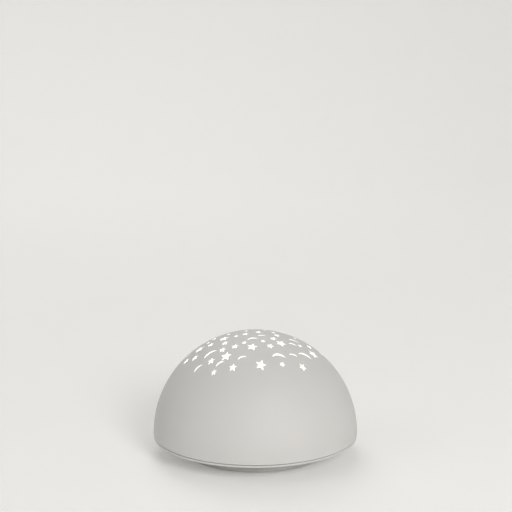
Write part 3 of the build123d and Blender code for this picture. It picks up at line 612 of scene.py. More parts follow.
def crescent_outline_tree():
    """Flat outlines of crescents, one on each point: two arcs over a unit chord, tips rounded."""
    tree, given, output = geometry_tree("Crescent outlines", [
        ("Outer Rise", "Float", OUTER_RISE), ("Inner Rise", "Float", INNER_RISE),
        ("Tip Radius", "Float", 0.08 * MM), ("Steps", "Int", 5), ("Arc Points", "Int", 17)])
    arcs = []
    for rise in ("Outer Rise", "Inner Rise"):
        top = add_node(tree, "ShaderNodeCombineXYZ", {"Y": given[rise]})
        arcs.append(add_node(tree, "GeometryNodeCurveArc", {
            "Resolution": given["Arc Points"], "Start": (-0.5, 0.0, 0.0),
            "Middle": top, "End": (0.5, 0.0, 0.0)}, mode="POINTS"))
    both = add_node(tree, "GeometryNodeJoinGeometry")
    for arc in arcs:
        tree.links.new(arc.outputs["Curve"], both.inputs["Geometry"])
    wires = add_node(tree, "GeometryNodeCurveToMesh", {"Curve": both})
    welded = add_node(tree, "GeometryNodeMergeByDistance", {"Geometry": wires, "Distance": 0.001})
    moon = add_node(tree, "GeometryNodeMeshToCurve", {"Mesh": welded})
    place = add_node(tree, "GeometryNodeInputPosition")
    split = add_node(tree, "ShaderNodeSeparateXYZ", {"Vector": place})
    aside = add_node(tree, "ShaderNodeMath", {0: split.outputs["X"]}, operation="ABSOLUTE")
    tip = add_node(tree, "ShaderNodeMath", {0: aside, 1: 0.499}, operation="GREATER_THAN")
    noted = add_node(tree, "GeometryNodeStoreNamedAttribute", {
        "Geometry": moon, "Name": "tip", "Value": tip}, data_type="FLOAT", domain="POINT")
    moons = outline_instances(tree, given, noted)
    at_tip = add_node(tree, "GeometryNodeInputNamedAttribute", {"Name": "tip"}, data_type="FLOAT")
    radius = add_node(tree, "ShaderNodeMath", {
        0: at_tip, 1: given["Tip Radius"]}, operation="MULTIPLY")
    rounded = add_node(tree, "GeometryNodeFilletCurve", {
        "Curve": moons, "Count": given["Steps"], "Radius": radius,
        "Limit Radius": True}, mode="POLY")
    wire = add_node(tree, "GeometryNodeCurveToMesh", {"Curve": rounded})
    close_tree(tree, output, wire, None)
    return tree


def rod_tree(material):
    """Round rod along each line of a curve, its ends closed."""
    tree, given, output = geometry_tree("Rod along a path", [
        ("Radius", "Float", 0.5 * MM), ("Sides", "Int", 16)])
    ring = add_node(tree, "GeometryNodeCurvePrimitiveCircle", {
        "Resolution": given["Sides"], "Radius": given["Radius"]})
    rod = add_node(tree, "GeometryNodeCurveToMesh", {
        "Curve": given["Geometry"], "Profile Curve": ring, "Fill Caps": True})
    close_tree(tree, output, rod, material)
    return tree


def screw_tree(material):
    """Pan-head screws with a cross recess and a wound thread, one on each point.

    Each stands with the seat of its head on its point and its head in the Direction.
    """
    tree, given, output = geometry_tree("Pan head screws", [
        ("Head Radius", "Float", 2.6 * MM), ("Head Height", "Float", 1.6 * MM),
        ("Shank Radius", "Float", 1.3 * MM), ("Length", "Float", 12 * MM),
        ("Pitch", "Float", 0.9 * MM), ("Direction", "Vector", (0.0, 0.0, 1.0)),
        ("Turn", "Float", math.radians(60)), ("Seed", "Int", 7)])

    # Head: a short drum whose upper part curves in, then cut with a cross.
    drum = add_node(tree, "GeometryNodeMeshCylinder", {
        "Vertices": 40, "Side Segments": 12, "Radius": 1.0, "Depth": 1.0})
    place = add_node(tree, "GeometryNodeInputPosition")
    split = add_node(tree, "ShaderNodeSeparateXYZ", {"Vector": place})
    crown = add_node(tree, "ShaderNodeMapRange", {
        "Value": split.outputs["Z"], "From Min": -0.2, "From Max": 0.5, "To Max": 0.75})
    bulge = add_node(tree, "ShaderNodeMath", {0: crown, 1: 2.4}, operation="POWER")
    left = add_node(tree, "ShaderNodeMath", {0: 1.0, 1: bulge}, operation="SUBTRACT")
    draw_in = add_node(tree, "ShaderNodeMath", {0: left}, operation="SQRT")
    shrink = add_node(tree, "ShaderNodeCombineXYZ", {"X": draw_in, "Y": draw_in, "Z": 1.0})
    shaped = add_node(tree, "ShaderNodeVectorMath", {0: place, 1: shrink}, operation="MULTIPLY")
    curved = add_node(tree, "GeometryNodeSetPosition", {"Geometry": drum, "Position": shaped})
    size = add_node(tree, "ShaderNodeCombineXYZ", {
        "X": given["Head Radius"], "Y": given["Head Radius"], "Z": given["Head Height"]})
    half = add_node(tree, "ShaderNodeVectorMath", {
        0: size, 1: (0.0, 0.0, 0.5)}, operation="MULTIPLY")
    blank = add_node(tree, "GeometryNodeTransform", {
        "Geometry": curved, "Translation": half, "Scale": size})
    cross_arm = (1.15, 0.26, 1.0)    # length, width and height, as shares of the head's
    cross_place = (0.0, 0.0, 0.95)   # of the cross's middle, in the same way
    arm_size = add_node(tree, "ShaderNodeVectorMath", {0: size, 1: cross_arm}, operation="MULTIPLY")
    arm = add_node(tree, "GeometryNodeMeshCube", {"Size": arm_size})
    cut_place = add_node(tree, "ShaderNodeVectorMath", {
        0: size, 1: cross_place}, operation="MULTIPLY")
    head = add_node(tree, "GeometryNodeMeshBoolean", {"Mesh 1": blank},
                    operation="DIFFERENCE", solver="EXACT")
    for quarter in (0.0, math.pi / 2):
        cutter = add_node(tree, "GeometryNodeTransform", {
            "Geometry": arm, "Translation": cut_place, "Rotation": (0.0, 0.0, quarter)})
        tree.links.new(cutter.outputs["Geometry"], head.inputs["Mesh 2"])

    # Shank: a core that runs into the head, and the thread wound on it.
    core_share = 0.82        # of the shank's radius
    core_drop = 0.499        # of the length, from the seat to the core's middle
    thread_share = 0.86      # of the length
    thread_drop = 0.96       # of the length, from the seat to the thread's end
    core_radius = add_node(tree, "ShaderNodeMath", {0: given["Shank Radius"], 1: core_share},
                           operation="MULTIPLY")
    core = add_node(tree, "GeometryNodeMeshCylinder", {
        "Vertices": 24, "Radius": core_radius, "Depth": given["Length"]})
    core_middle = add_node(tree, "ShaderNodeMath", {0: given["Length"], 1: -core_drop},
                           operation="MULTIPLY")
    core_shift = add_node(tree, "ShaderNodeCombineXYZ", {"Z": core_middle})
    core_placed = add_node(tree, "GeometryNodeTransform", {
        "Geometry": core, "Translation": core_shift})
    run = add_node(tree, "ShaderNodeMath", {0: given["Length"], 1: thread_share},
                   operation="MULTIPLY")
    turns = add_node(tree, "ShaderNodeMath", {0: run, 1: given["Pitch"]}, operation="DIVIDE")
    winding = add_node(tree, "GeometryNodeCurveSpiral", {
        "Resolution": 20, "Rotations": turns, "Start Radius": core_radius,
        "End Radius": core_radius, "Height": run})
    depth = add_node(tree, "ShaderNodeMath", {0: given["Shank Radius"], 1: core_radius},
                     operation="SUBTRACT")
    ridge = add_node(tree, "GeometryNodeCurvePrimitiveCircle", {"Resolution": 4, "Radius": depth})
    thread = add_node(tree, "GeometryNodeCurveToMesh", {
        "Curve": winding, "Profile Curve": ridge, "Fill Caps": True})
    thread_low = add_node(tree, "ShaderNodeMath", {0: given["Length"], 1: -thread_drop},
                          operation="MULTIPLY")
    thread_shift = add_node(tree, "ShaderNodeCombineXYZ", {"Z": thread_low})
    thread_placed = add_node(tree, "GeometryNodeTransform", {
        "Geometry": thread, "Translation": thread_shift})
    screw = add_node(tree, "GeometryNodeJoinGeometry")
    for part in (thread_placed, core_placed, head):
        tree.links.new(part.outputs[0], screw.inputs["Geometry"])

    # One on each point, each driven home at its own turn.
    driven = add_node(tree, "FunctionNodeRandomValue", {3: given["Turn"], "Seed": given["Seed"]},
                      data_type="FLOAT")
    spin = add_node(tree, "FunctionNodeAxisAngleToRotation", {
        "Axis": (0.0, 0.0, 1.0), "Angle": driven.outputs[1]})
    aim = add_node(tree, "FunctionNodeAlignRotationToVector", {
        "Vector": given["Direction"]}, axis="Z")
    both_turns = add_node(tree, "FunctionNodeRotateRotation", {
        "Rotation": aim, "Rotate By": spin}, rotation_space="LOCAL")
    stood = add_node(tree, "GeometryNodeInstanceOnPoints", {
        "Points": given["Geometry"], "Instance": screw, "Rotation": both_turns})
    close_tree(tree, output, stood, material)
    return tree


# ---------------------------------------------------------------- dome

def star_marks():
    """Place, size and turn of every star, in metres and radians."""
    return [(Vector(place) * MM, STAR_SIZES[kind] * MM, STAR_TURN)
            for kind, places in STARS.items() for place in places]


def crescent_marks():
    """Middle of its chord, length and turn of every crescent; it is listed by its own middle."""
    marks = []
    for kind, places in CRESCENTS.items():
        size = CRESCENT_SIZES[kind]
        drop = size * (OUTER_RISE + INNER_RISE) / 2
        shift = Vector((math.sin(CRESCENT_TURN), -math.cos(CRESCENT_TURN))) * drop
        marks += [((Vector(place) + shift) * MM, size * MM, CRESCENT_TURN) for place in places]
    return marks


def outlines(piece):
    """Anticlockwise rings of a flat wire piece, which is then thrown away."""
    mesh = piece.data
    next_to = {}
    for edge in mesh.edges:
        one, other = edge.vertices
        next_to.setdefault(one, []).append(other)
        next_to.setdefault(other, []).append(one)
    rings = []
    while next_to:
        start, ends = next_to.popitem()
        ring = [start]
        here = ends[0]
        while here != start:
            before = ring[-1]
            ring.append(here)
            here = next(n for n in next_to.pop(here) if n != before)
        places = [mesh.vertices[n].co.xy for n in ring]
        area = sum(a.cross(b) for a, b in zip(places, places[1:] + places[:1]))
        rings.append(places if area > 0 else places[::-1])
    bpy.data.objects.remove(piece)
    return rings


def ring_directions(ring):
    """Outward direction at each place of an anticlockwise ring, as long as a mitre needs."""
    found = []
    for a, b, c in zip(ring[-1:] + ring[:-1], ring, ring[1:] + ring[:1]):
        come, go = (b - a).normalized(), (c - b).normalized()
        out_come, out_go = Vector((come.y, -come.x)), Vector((go.y, -go.x))
        out = (out_come + out_go).normalized()
        found.append((out, 1 / max(MITRE_LIMIT, out.dot(out_come))))
    return found


class DomeShell(Surface):
    """The pierced dome: an outer and an inner skin, joined by the walls of every opening."""

    def __init__(self, centre, outer, inner, edge):
        super().__init__()
        self.centre, self.outer, self.inner, self.edge = centre, outer, inner, edge
        self.outer_rings, self.inner_rings = [], []

    def out(self, place):
        """Direction of a place from the dome's centre."""
        return (place - self.centre).normalized()

    def on_ball(self, flat, radius, drop=0.0):
        """Where a place in the plan meets a ball about the centre, less a drop."""
        height = math.sqrt(radius ** 2 - flat.length_squared)
        return Vector((flat.x, flat.y, self.centre.z + height - drop))

    def opening(self, rims, wall_normals, lit):
        """Rims of an opening from the outer skin in, the first ones over its broken edge.

        The wall of a lit one has the piece's second material, which paints a glow on it.
        """
        rings = [self.put(rim) for rim in rims]
        for step, (near, far) in enumerate(zip(rings, rings[1:])):
            # walls of lit openings get the material with the painted glow
            self.coat = int(lit and step >= EDGE_STEPS)
            normals = []
            for k in (step, step + 1):
                lean = math.radians(min(90, 90 * k / EDGE_STEPS))
                normals.append([
                    (math.cos(lean) * self.out(p) + math.sin(lean) * n).normalized()
                    for p, n in zip(rims[k], wall_normals)])
            self.band(near, far, *normals)
        self.coat = 0
        self.outer_rings.append(rings[0])
        return rings[-1]

    def pierce(self, ring):
        """A star or crescent, cut straight up, with its outer edge slightly broken."""
        ways = ring_directions(ring)
        rims = [[self.on_ball(p + way * mitre * reach, self.outer, drop)
                 for p, (way, mitre) in zip(ring, ways)]
                for reach, drop in rounded_edge(self.edge, EDGE_STEPS)]
        rims.append([self.on_ball(p, self.inner) for p in ring])
        walls = [Vector((-way.x, -way.y, 0)) for way, _ in ways]
        self.inner_rings.append(self.opening(rims, walls, lit=True))

    def collar(self, middle, hole, outside, face):
        """A button hole along +Y, with the collar that guides the button inside the dome."""
        count = ROUND["button"]
        rims = [[p - BACK * drop for p in round_ring(middle, BACK, hole + reach, count,
                                                     (self.centre, self.outer))]
                for reach, drop in rounded_edge(self.edge, EDGE_STEPS)]
        rims.append([Vector((p.x, face, p.z)) for p in rims[-1]])
        axis = Vector((middle.x, 0, middle.z))
        walls = [(axis - Vector((p.x, 0, p.z))).normalized() for p in rims[-1]]
        inner_end = self.opening(rims, walls, lit=False)
        base = Vector((middle.x, face, middle.z))
        lip = self.ring(base, BACK, outside, count)
        root = self.ring(base, BACK, outside, count, (self.centre, self.inner))
        self.cover([inner_end, lip, root])
        self.inner_rings.append(root)

    def stalk(self, profile, axis, foot, count):
        """A post or peg on the inner skin: a profile from its foot, then up to the skin."""
        rings = self.turned(profile, count, foot, axis)
        rings.append(self.ring(foot, axis, profile[-1][0], count, (self.centre, self.inner)))
        self.cover(rings)
        self.inner_rings.append(rings[-1])

    def skin(self, radius, rings, edge_ring, spacing, inside):
        """Cover half a ball from its edge ring up, leaving the rings open.

        The half ball is drawn flat as a map that keeps angles, and filled with even triangles.
        """
        def flat(place):
            way = self.out(place)
            return Vector((way.x, way.y)) * 2 * radius / (1 + way.z)

        known = [n for ring in [edge_ring] + rings for n in ring]
        drawn = [flat(self.places[n]) for n in known]
        loops, first = [], 0
        for ring in [edge_ring] + rings:
            loops.append(list(range(first, first + len(ring))))
            first += len(ring)
        shapes = []
        for loop in loops[1:]:
            corners = [drawn[n] for n in loop]
            middle = sum(corners, Vector((0, 0))) / len(corners)
            shapes.append((middle, max((c - middle).length for c in corners), corners))
        grid = []
        rows = int(2 * radius / spacing / ROW_STEP) + 1
        for row in range(-rows, rows + 1):
            for column in range(-2 * rows, 2 * rows + 1):
                spot = Vector(((column + row % 2 / 2) * spacing, row * ROW_STEP * spacing))
                if spot.length < 2 * radius - RIM_GAP * spacing and all(
                        clear_of(spot, shape, OPENING_GAP * spacing) for shape in shapes):
                    grid.append(spot)
        corners, _, faces, from_corners, _, from_faces = delaunay_2d_cdt(
            drawn + grid, [], loops, 0, MERGE_GAP, True)
        numbers = []
        for place, origins in zip(corners, from_corners):
            given = [n for n in origins if n < len(known)]
            if given:
                numbers.append(known[given[0]])
            else:
                share = place.length_squared / (2 * radius) ** 2
                way = Vector((place.x / radius, place.y / radius, 1 - share)) / (1 + share)
                numbers.append(self.put([self.centre + way * radius])[0])
        for face, origins in zip(faces, from_faces):
            if any(n > 0 for n in origins):
                continue
            turned = [numbers[n] for n in face]
            if inside:
                turned.reverse()
            self.face(turned, [self.out(self.places[n]) * (-1 if inside else 1) for n in turned])


def clear_of(spot, shape, gap):
    """Whether a spot is outside a flat shape by at least a gap."""
    middle, reach, corners = shape
    if (spot - middle).length > reach + gap:
        return True
    inside = False
    for a, b in zip(corners, corners[1:] + corners[:1]):
        along = b - a
        share = max(0.0, min(1.0, (spot - a).dot(along) / max(along.length_squared, 1e-18)))
        if (a + along * share - spot).length < gap:
            return False
        if (a.y > spot.y) != (b.y > spot.y) and spot.x < a.x + (spot.y - a.y) * along.x / along.y:
            inside = not inside
    return not inside


def make_dome(look):
    """The dome, from the sizes of the CAD dome and the marks it is pierced with."""
    low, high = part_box("dome_shell")
    outer = high[0]
    inner = outer - DOME_WALL
    centre = dome_centre()
    shell = DomeShell(centre, outer, inner, look.edge_break)
    for marks, tree in ((star_marks(), star_outline_tree()),
                        (crescent_marks(), crescent_outline_tree())):
        source = points([m[0] for m in marks], size=[m[1] for m in marks], turn=[m[2] for m in marks])
        for ring in outlines(grown("outlines", source, tree, tip_radius=look.tip_radius)):
            shell.pierce(ring)
    for button in ("power_button", "colour_button"):
        middle = middle_of(button)
        shell.collar(Vector((middle.x, 0, middle.z)), BUTTON_HOLE, COLLAR_RADIUS, COLLAR_FACE)
    post = [(0, PILOT_TOP), (PILOT_RADIUS, PILOT_TOP), (PILOT_RADIUS, POST_FOOT + PILOT_EDGE),
            (PILOT_RADIUS + PILOT_EDGE, POST_FOOT), (POST_RADIUS - POST_EDGE, POST_FOOT),
            (POST_RADIUS, POST_FOOT + POST_EDGE)]
    for foot in around(POST_CIRCLE, 45, 4):
        shell.stalk(post, UP, foot, ROUND["post"])
    half = PEG_HEAD_HEIGHT / 2
    melted = arc_profile((PEG_HEAD_RADIUS - half, PEG_HEAD_TOP - half), half, -90, 90, 6)
    peg = [(0, melted[0][1])] + melted + [(PEG_RADIUS, PEG_HEAD_TOP)]
    for way in around(math.sin(PEG_ANGLE), 0, 4, math.cos(PEG_ANGLE)):
        shell.stalk(peg, way, centre, ROUND["peg"])

    # Straight skirt with a rounded lower edge, then the two skins.
    drop = centre.z - low[2]
    corner = (outer - SKIRT_ROUNDING, SKIRT_ROUNDING - drop)
    profile = ([(inner, 0), (inner, -drop)]
               + arc_profile(corner, SKIRT_ROUNDING, -90, 0, ARC_STEPS) + [(outer, 0)])
    rings = shell.turned(profile, ROUND["dome"], centre)
    shell.cover(rings)
    shell.skin(outer, shell.outer_rings, rings[-1], OUTER_SPACING, inside=False)
    shell.skin(inner, shell.inner_rings, rings[0], INNER_SPACING, inside=True)
    return shell


# ---------------------------------------------------------------- buttons

def make_button(name, look):
    """A push button: stem, stop flange, and a cap that follows the dome a little proud of it."""
    node = middle_of(name)
    middle = Vector((node.x, 0, node.z))
    ball = (dome_centre(), CAP_BALL)
    count = ROUND["button"]
    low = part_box(name)[0][1]
    stem = [(0, 0), (2.3, 0), (2.5, 0.2), (2.5, 1.2)]  # radius and height in millimetres
    flange = [(6.0, 1.2), (6.2, 1.4), (6.2, 2.0), (6.0, 2.2)]
    side = [(4.5, 2.2), (4.5, 6.0)]
    profile = [(radius * MM, low + height * MM) for radius, height in stem + flange + side]
    button = Surface()
    rings = button.turned(profile, count, middle, BACK)
    for short, drop in reversed(rounded_edge(look.button_rounding, CAP_STEPS)):
        rim = round_ring(middle, BACK, CAP_RADIUS - short, count, ball)
        rings.append(button.put([p - BACK * drop for p in rim]))
    for share in (0.8, 0.6, 0.4, 0.2, 0):
        radius = (CAP_RADIUS - look.button_rounding) * share
        rings.append(button.ring(middle, BACK, radius, count, ball))
    button.cover(rings)
    return button


def on_cap(name, across, up):
    """Place on a button's cap: across to the right as a finger meets it, and up."""
    node = middle_of(name)
    middle = Vector((node.x - across, 0, node.z + up))
    return round_ring(middle, BACK, 0, 1, (dome_centre(), CAP_BALL))[0]


def power_mark():
    """Raised power sign: a ring open at its top, and a bar in the gap."""
    run = (360 - 2 * POWER_GAP) / (POWER_RING_POINTS - 1)
    angles = [math.radians(90 + POWER_GAP + run * i) for i in range(POWER_RING_POINTS)]
    radius = POWER_RING * MM
    return paths([[on_cap("power_button", radius * math.cos(a), radius * math.sin(a)) for a in angles],
                  [on_cap("power_button", 0, up * MM) for up in POWER_BAR]])


def colour_mark():
    """Raised sign for changing colour: three small rings that stand in a triangle."""
    routes = []
    for corner in around(TRIO_CIRCLE, 90, 3):
        middle = corner.xy - Vector((0, TRIO_DROP))
        spots = [(middle + spot.xy) * MM for spot in around(TRIO_RING, 0, TRIO_RING_POINTS)]
        routes.append([on_cap("colour_button", spot.x, spot.y) for spot in spots])
    return paths(routes, closed=True)


# ---------------------------------------------------------------- cells, feet and the door's grip

def make_cell(name):
    """An AA cell: a sleeved can with a pressed nub at one end."""
    low, high = (Vector(corner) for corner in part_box(name))
    way = 1 if name != "battery_2" else -1
    flat = Vector((low.x if way > 0 else high.x, (low.y + high.y) / 2, (low.z + high.z) / 2))
    radius, length = (high.z - low.z) / 2 / MM, (high.x - low.x) / MM
    line, band = length - 17.0, length - 16.2        # where the pale line and the band start
    shoulder, washer = length - 1.2, length - 1.4    # the can's rolled end, and the face inside it

    # Stretches from the flat end up: a coat, and points of radius and height in millimetres.
    parts = (
        (1, [(0, 0.2), (4.4, 0.2), (4.7, 0), (6.2, 0)]),
        (0, [(6.2, 0), (6.8, 0)] + arc_profile((radius - 0.35, 0.35), 0.35, -90, 0, ARC_STEPS)
            + [(radius, line)]),
        (2, [(radius, line), (radius, band)]),
        (3, [(radius, band)] + arc_profile((radius - 0.5, shoulder - 0.5), 0.5, 0, 90, ARC_STEPS)
            + [(5.9, shoulder), (5.8, washer)]),
        (4, [(5.8, washer), (3.3, washer)]),
        (1, [(3.3, washer), (3.1, shoulder), (2.75, shoulder)]
            + arc_profile((2.35, length - 0.4), 0.4, 0, 90, ARC_STEPS) + [(0, length)]),
    )
    cell = Surface()
    last = []
    for coat, profile in parts:
        cell.coat = coat
        ahead = [(r * MM, h * MM) for r, h in profile[len(last):]]
        rings = last + cell.turned(ahead, ROUND["cell"], flat, Vector((way, 0, 0)))
        cell.cover(rings)
        last = rings[-1:]
    return cell


def copies_tree(material):
    """The same piece, standing on each point."""
    tree, given, output = geometry_tree("Copies on points", [("Piece", "Object", None)])
    piece = add_node(tree, "GeometryNodeObjectInfo", {"Object": given["Piece"]})
    stood = add_node(tree, "GeometryNodeInstanceOnPoints", {
        "Points": given["Geometry"], "Instance": piece.outputs["Geometry"]})
    close_tree(tree, output, stood, material)
    return tree


def make_feet(material):
    """Four moulded rubber feet: a rounded rim round a shallow dished sole."""
    names = [f"rubber_foot_{number}" for number in range(1, 5)]
    low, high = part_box(names[0])
    radius, height = (high[0] - low[0]) / 2, high[2] - low[2]
    dish, rim, slope, rounding, edge = 0.18 * MM, 1.1 * MM, 0.2 * MM, 0.3 * MM, 0.1 * MM
    profile = ([(0, dish), (radius - rim - slope, dish), (radius - rim, 0)]
               + arc_profile((radius - rounding, rounding), rounding, -90, 0, ARC_STEPS)
               + [(radius, height - edge), (radius - edge, height), (0, height)])
    foot = Surface()
    foot.cover(foot.turned(profile, ROUND["foot"]))
    unit = foot.finished("foot")
    places = [Vector((middle_of(name).x, middle_of(name).y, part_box(name)[0][2])) for name in names]
    feet = grown("rubber_feet", points(places), copies_tree(material), piece=unit)
    bpy.data.objects.remove(unit)
    declare(feet, "housing", "foot_rubber", *names)


def grip_tree(material):
    """Low ridges in a row, for a thumb."""
    tree, given, output = geometry_tree("Grip ridges", [
        ("Count", "Int", 6), ("Pitch", "Float", 1.6 * MM), ("Width", "Float", 13 * MM),
        ("Radius", "Float", 0.5 * MM)])
    half = add_node(tree, "ShaderNodeMath", {0: given["Width"], 1: 0.5}, operation="MULTIPLY")
    left = add_node(tree, "ShaderNodeMath", {0: given["Width"], 1: -0.5}, operation="MULTIPLY")
    start = add_node(tree, "ShaderNodeCombineXYZ", {"X": left})
    end = add_node(tree, "ShaderNodeCombineXYZ", {"X": half})
    line = add_node(tree, "GeometryNodeCurvePrimitiveLine", {"Start": start, "End": end})
    ring = add_node(tree, "GeometryNodeCurvePrimitiveCircle", {
        "Resolution": 20, "Radius": given["Radius"]})
    ridge = add_node(tree, "GeometryNodeCurveToMesh", {
        "Curve": line, "Profile Curve": ring, "Fill Caps": True})
    step = add_node(tree, "ShaderNodeCombineXYZ", {"Y": given["Pitch"]})
    row = add_node(tree, "GeometryNodeMeshLine", {"Count": given["Count"], "Offset": step})
    at_points = add_node(tree, "GeometryNodeInstanceOnPoints", {"Points": row, "Instance": ridge})
    copy = add_node(tree, "GeometryNodeRealizeInstances", {"Geometry": at_points})
    stood = add_node(tree, "GeometryNodeInstanceOnPoints", {
        "Points": given["Geometry"], "Instance": copy})
    close_tree(tree, output, stood, material)
    return tree


def polarity_marks():
    """Outlines of the cells on the door's inner face, each with its plus and its minus."""
    routes = []
    for number, way in ((1, 1), (2, -1), (3, 1)):
        middle = middle_of(f"battery_{number}")
        for stroke in SIGN_STROKES:
            routes.append([(middle.x + way * x * MM, middle.y + y * MM, DOOR_FACE) for x, y in stroke])
    return paths(routes, order=2)


# ---------------------------------------------------------------- stage

def backdrop_paper(name, colour, glow):
    """Matte card: a wide, even, pale ground that keeps soft shadows.

    The camera and mirrors see it a little lighter, and from behind it is clear.
    """
    material, tree, shader = finish(name, colour, 0.9, Specular_IOR_Level=0.2)
    seen = add_node(tree, "ShaderNodeLightPath")
    direct = add_node(tree, "ShaderNodeMath", {
        0: seen.outputs["Is Camera Ray"], 1: seen.outputs["Is Glossy Ray"]}, operation="MAXIMUM")
    through = add_node(tree, "ShaderNodeMath", {
        0: direct, 1: seen.outputs["Is Transmission Ray"]}, operation="MAXIMUM")
    light = add_node(tree, "ShaderNodeMath", {0: through, 1: glow}, operation="MULTIPLY")
    shader.inputs["Emission Color"].default_value = colour
    tree.links.new(light.outputs["Value"], shader.inputs["Emission Strength"])
    behind = add_node(tree, "ShaderNodeNewGeometry")
    clear = add_node(tree, "ShaderNodeBsdfTransparent")
    both = add_node(tree, "ShaderNodeMixShader", {
        0: behind.outputs["Backfacing"], 1: shader, 2: clear})
    tree.links.new(both.outputs["Shader"], tree.nodes["Material Output"].inputs["Surface"])
    return material


def soft_lamp(name, place, size, power):
    """A square soft box that looks at the night light."""
    data = bpy.data.lights.new(name, "AREA")
    data.shape = "SQUARE"
    data.size = size
    data.energy = power
    lamp = placed(name, data)
    lamp.location = place
    lamp.rotation_euler = (Vector(LAMP_TARGET) - Vector(place)).to_track_quat("-Z", "Y").to_euler()


def make_stage(stage):
    """Floor that curves up into a wall all round, lamps, world and camera."""
    bend = arc_profile((FLOOR_RINGS[-1], WALL_BEND), WALL_BEND, -90, 0, 9)
    profile = ([(radius, 0.0) for radius in FLOOR_RINGS] + bend[1:]
               + [(FLOOR_RINGS[-1] + WALL_BEND, WALL_TOP)])
    sheet = Surface()
    sheet.cover(sheet.turned(profile[::-1], ROUND["stage"]))  # from the rim in: faces up and inwards
    paper = backdrop_paper("Card - pale matte", stage.floor_colour, stage.floor_glow)
    sheet.finished("floor", paper)

    for name, (place, size) in LAMPS.items():
        soft_lamp(name, place, size, getattr(stage, name + "_power"))

    world = bpy.data.worlds.new("Studio")
    world.use_nodes = True
    tree = world.node_tree
    ground = tree.nodes["Background"]
    ground.inputs["Color"].default_value = (1.0, 1.0, 1.0, 1.0)
    seen = add_node(tree, "ShaderNodeLightPath")
    strength = add_node(tree, "ShaderNodeMapRange", {
        "Value": seen.outputs["Is Camera Ray"], "To Min": stage.world_strength, "To Max": BACKGROUND})
    tree.links.new(strength.outputs["Result"], ground.inputs["Strength"])
    bpy.context.scene.world = world

    data = bpy.data.cameras.new("camera")
    data.lens = stage.lens
    data.sensor_width = 36.0
    data.clip_start = 0.01
    camera = placed("camera", data)
    camera.location = dome_centre() + Vector((
        VIEW_ASIDE, -VIEW_DISTANCE * math.cos(VIEW_RISE), VIEW_DISTANCE * math.sin(VIEW_RISE)))
    camera.rotation_euler = (VIEW_PITCH, 0.0, 0.0)
    bpy.context.scene.camera = camera
    bpy.context.scene.view_settings.view_transform = "Standard"


# ---------------------------------------------------------------- settings

def number_setting(name, description, value, **kind):
    """A number that a user may change, not below nought."""
    return FloatProperty(name=name, description=description, default=value, min=0.0, **kind)


def length_setting(name, description, value):
    """A length, in metres."""
    return number_setting(name, description, value, subtype="DISTANCE", unit="LENGTH")


def power_setting(name, description, value):
    """The power of a studio lamp, in watts."""
    return number_setting(name, description, value, subtype="POWER", unit="POWER")


def colour_setting(name, description, value):
    """A colour, from its hex value."""
    return FloatVectorProperty(name=name, description=description, default=linear(value), size=4,
                               subtype="COLOR", min=0.0, max=1.0)


class NightLightShell(bpy.types.PropertyGroup):
    """Dome, base and buttons."""

    shell_colour: colour_setting("Shell", "Colour of the dome", "#DBD9D6")
    base_colour: colour_setting("Base", "Colour of the base and the battery door", "#D9D7D4")
    button_colour: colour_setting("Buttons", "Colour of the push buttons", "#D6D5D2")
    mark_colour: colour_setting("Marks", "Colour of the raised marks on the buttons", "#8B8987")
    rubber_colour: colour_setting("Feet", "Colour of the rubber feet", "#3A3A3B")
    edge_break: length_setting("Edge break", "Rounding of the edges of the cut-outs", 0.10 * MM)
    tip_radius: length_setting("Tip radius", "Rounding of the tips of stars and crescents", 0.06 * MM)
    button_rounding: length_setting("Button rounding", "Rounding of the button caps", 0.6 * MM)
    mark_radius: length_setting("Mark radius", "Half the width of the marks' strokes", 0.24 * MM)
    grip_pitch: length_setting("Grip pitch", "Distance between the ridges of the door", 1.7 * MM)
    grip_count: IntProperty(name="Grip ridges", description="Number of ridges on the door", default=6,
                            min=1, max=20)


class NightLightInside(bpy.types.PropertyGroup):
    """Window, lamps, boards, cells and fixings."""

    glow_colour: colour_setting("Glow", "Colour of the lit window", "#FFFDF8")
    glow_strength: number_setting("Glow strength", "Light of the window; 1 is white", 1.2)
    wall_glow: number_setting("Wall glow", "Light of the walls of the cut-outs", 0.55)
    board_colour: colour_setting("Boards", "Colour of the solder mask", "#1E5B36")
    jacket_colour: colour_setting("Cell sleeve", "Main colour of the cells", "#3B4149")
    band_colour: colour_setting("Cell band", "Colour of the cells' upper part", "#B5784A")
    steel_colour: colour_setting("Steel", "Colour of zinc plate", "#B9BBB9")
    nickel_colour: colour_setting("Nickel", "Colour of nickel plate", "#C9C5BC")
    screw_turn: number_setting("Screw turn", "Furthest turn between driven screws",
                               math.radians(80), subtype="ANGLE", unit="ROTATION")


class NightLightStage(bpy.types.PropertyGroup):
    """Floor, lamps and camera."""

    floor_colour: colour_setting("Floor", "Colour of the floor and backdrop", "#F3F2F0")
    floor_glow: number_setting("Floor lift", "Light added to the floor that is seen", 0.19, max=1.0)
    key_power: power_setting("Key", "Power of the main lamp", 14.0)
    fill_power: power_setting("Fill", "Power of the side lamp", 2.5)
    top_power: power_setting("Top", "Power of the top lamp", 1.6)
    back_power: power_setting("Back", "Power of the lamp behind", 14.0)
    under_power: power_setting("Under", "Power of the lamp below the floor", 6.0)
    world_strength: number_setting("World", "Light from all round", 0.28)
    lens: number_setting("Lens", "Focal length in millimetres", 83.6, subtype="DISTANCE_CAMERA")


# ---------------------------------------------------------------- operators

def screws(name, body, node, places, look, direction, **sizes):
    """Screws in place of a CAD node of screws."""
    material = zinc_plate("Steel - zinc plated " + name, look.steel_colour)
    made = grown(name, points(places), screw_tree(material), direction=direction,
                 turn=look.screw_turn, **sizes)
    declare(made, body, "zinc_screw", node)


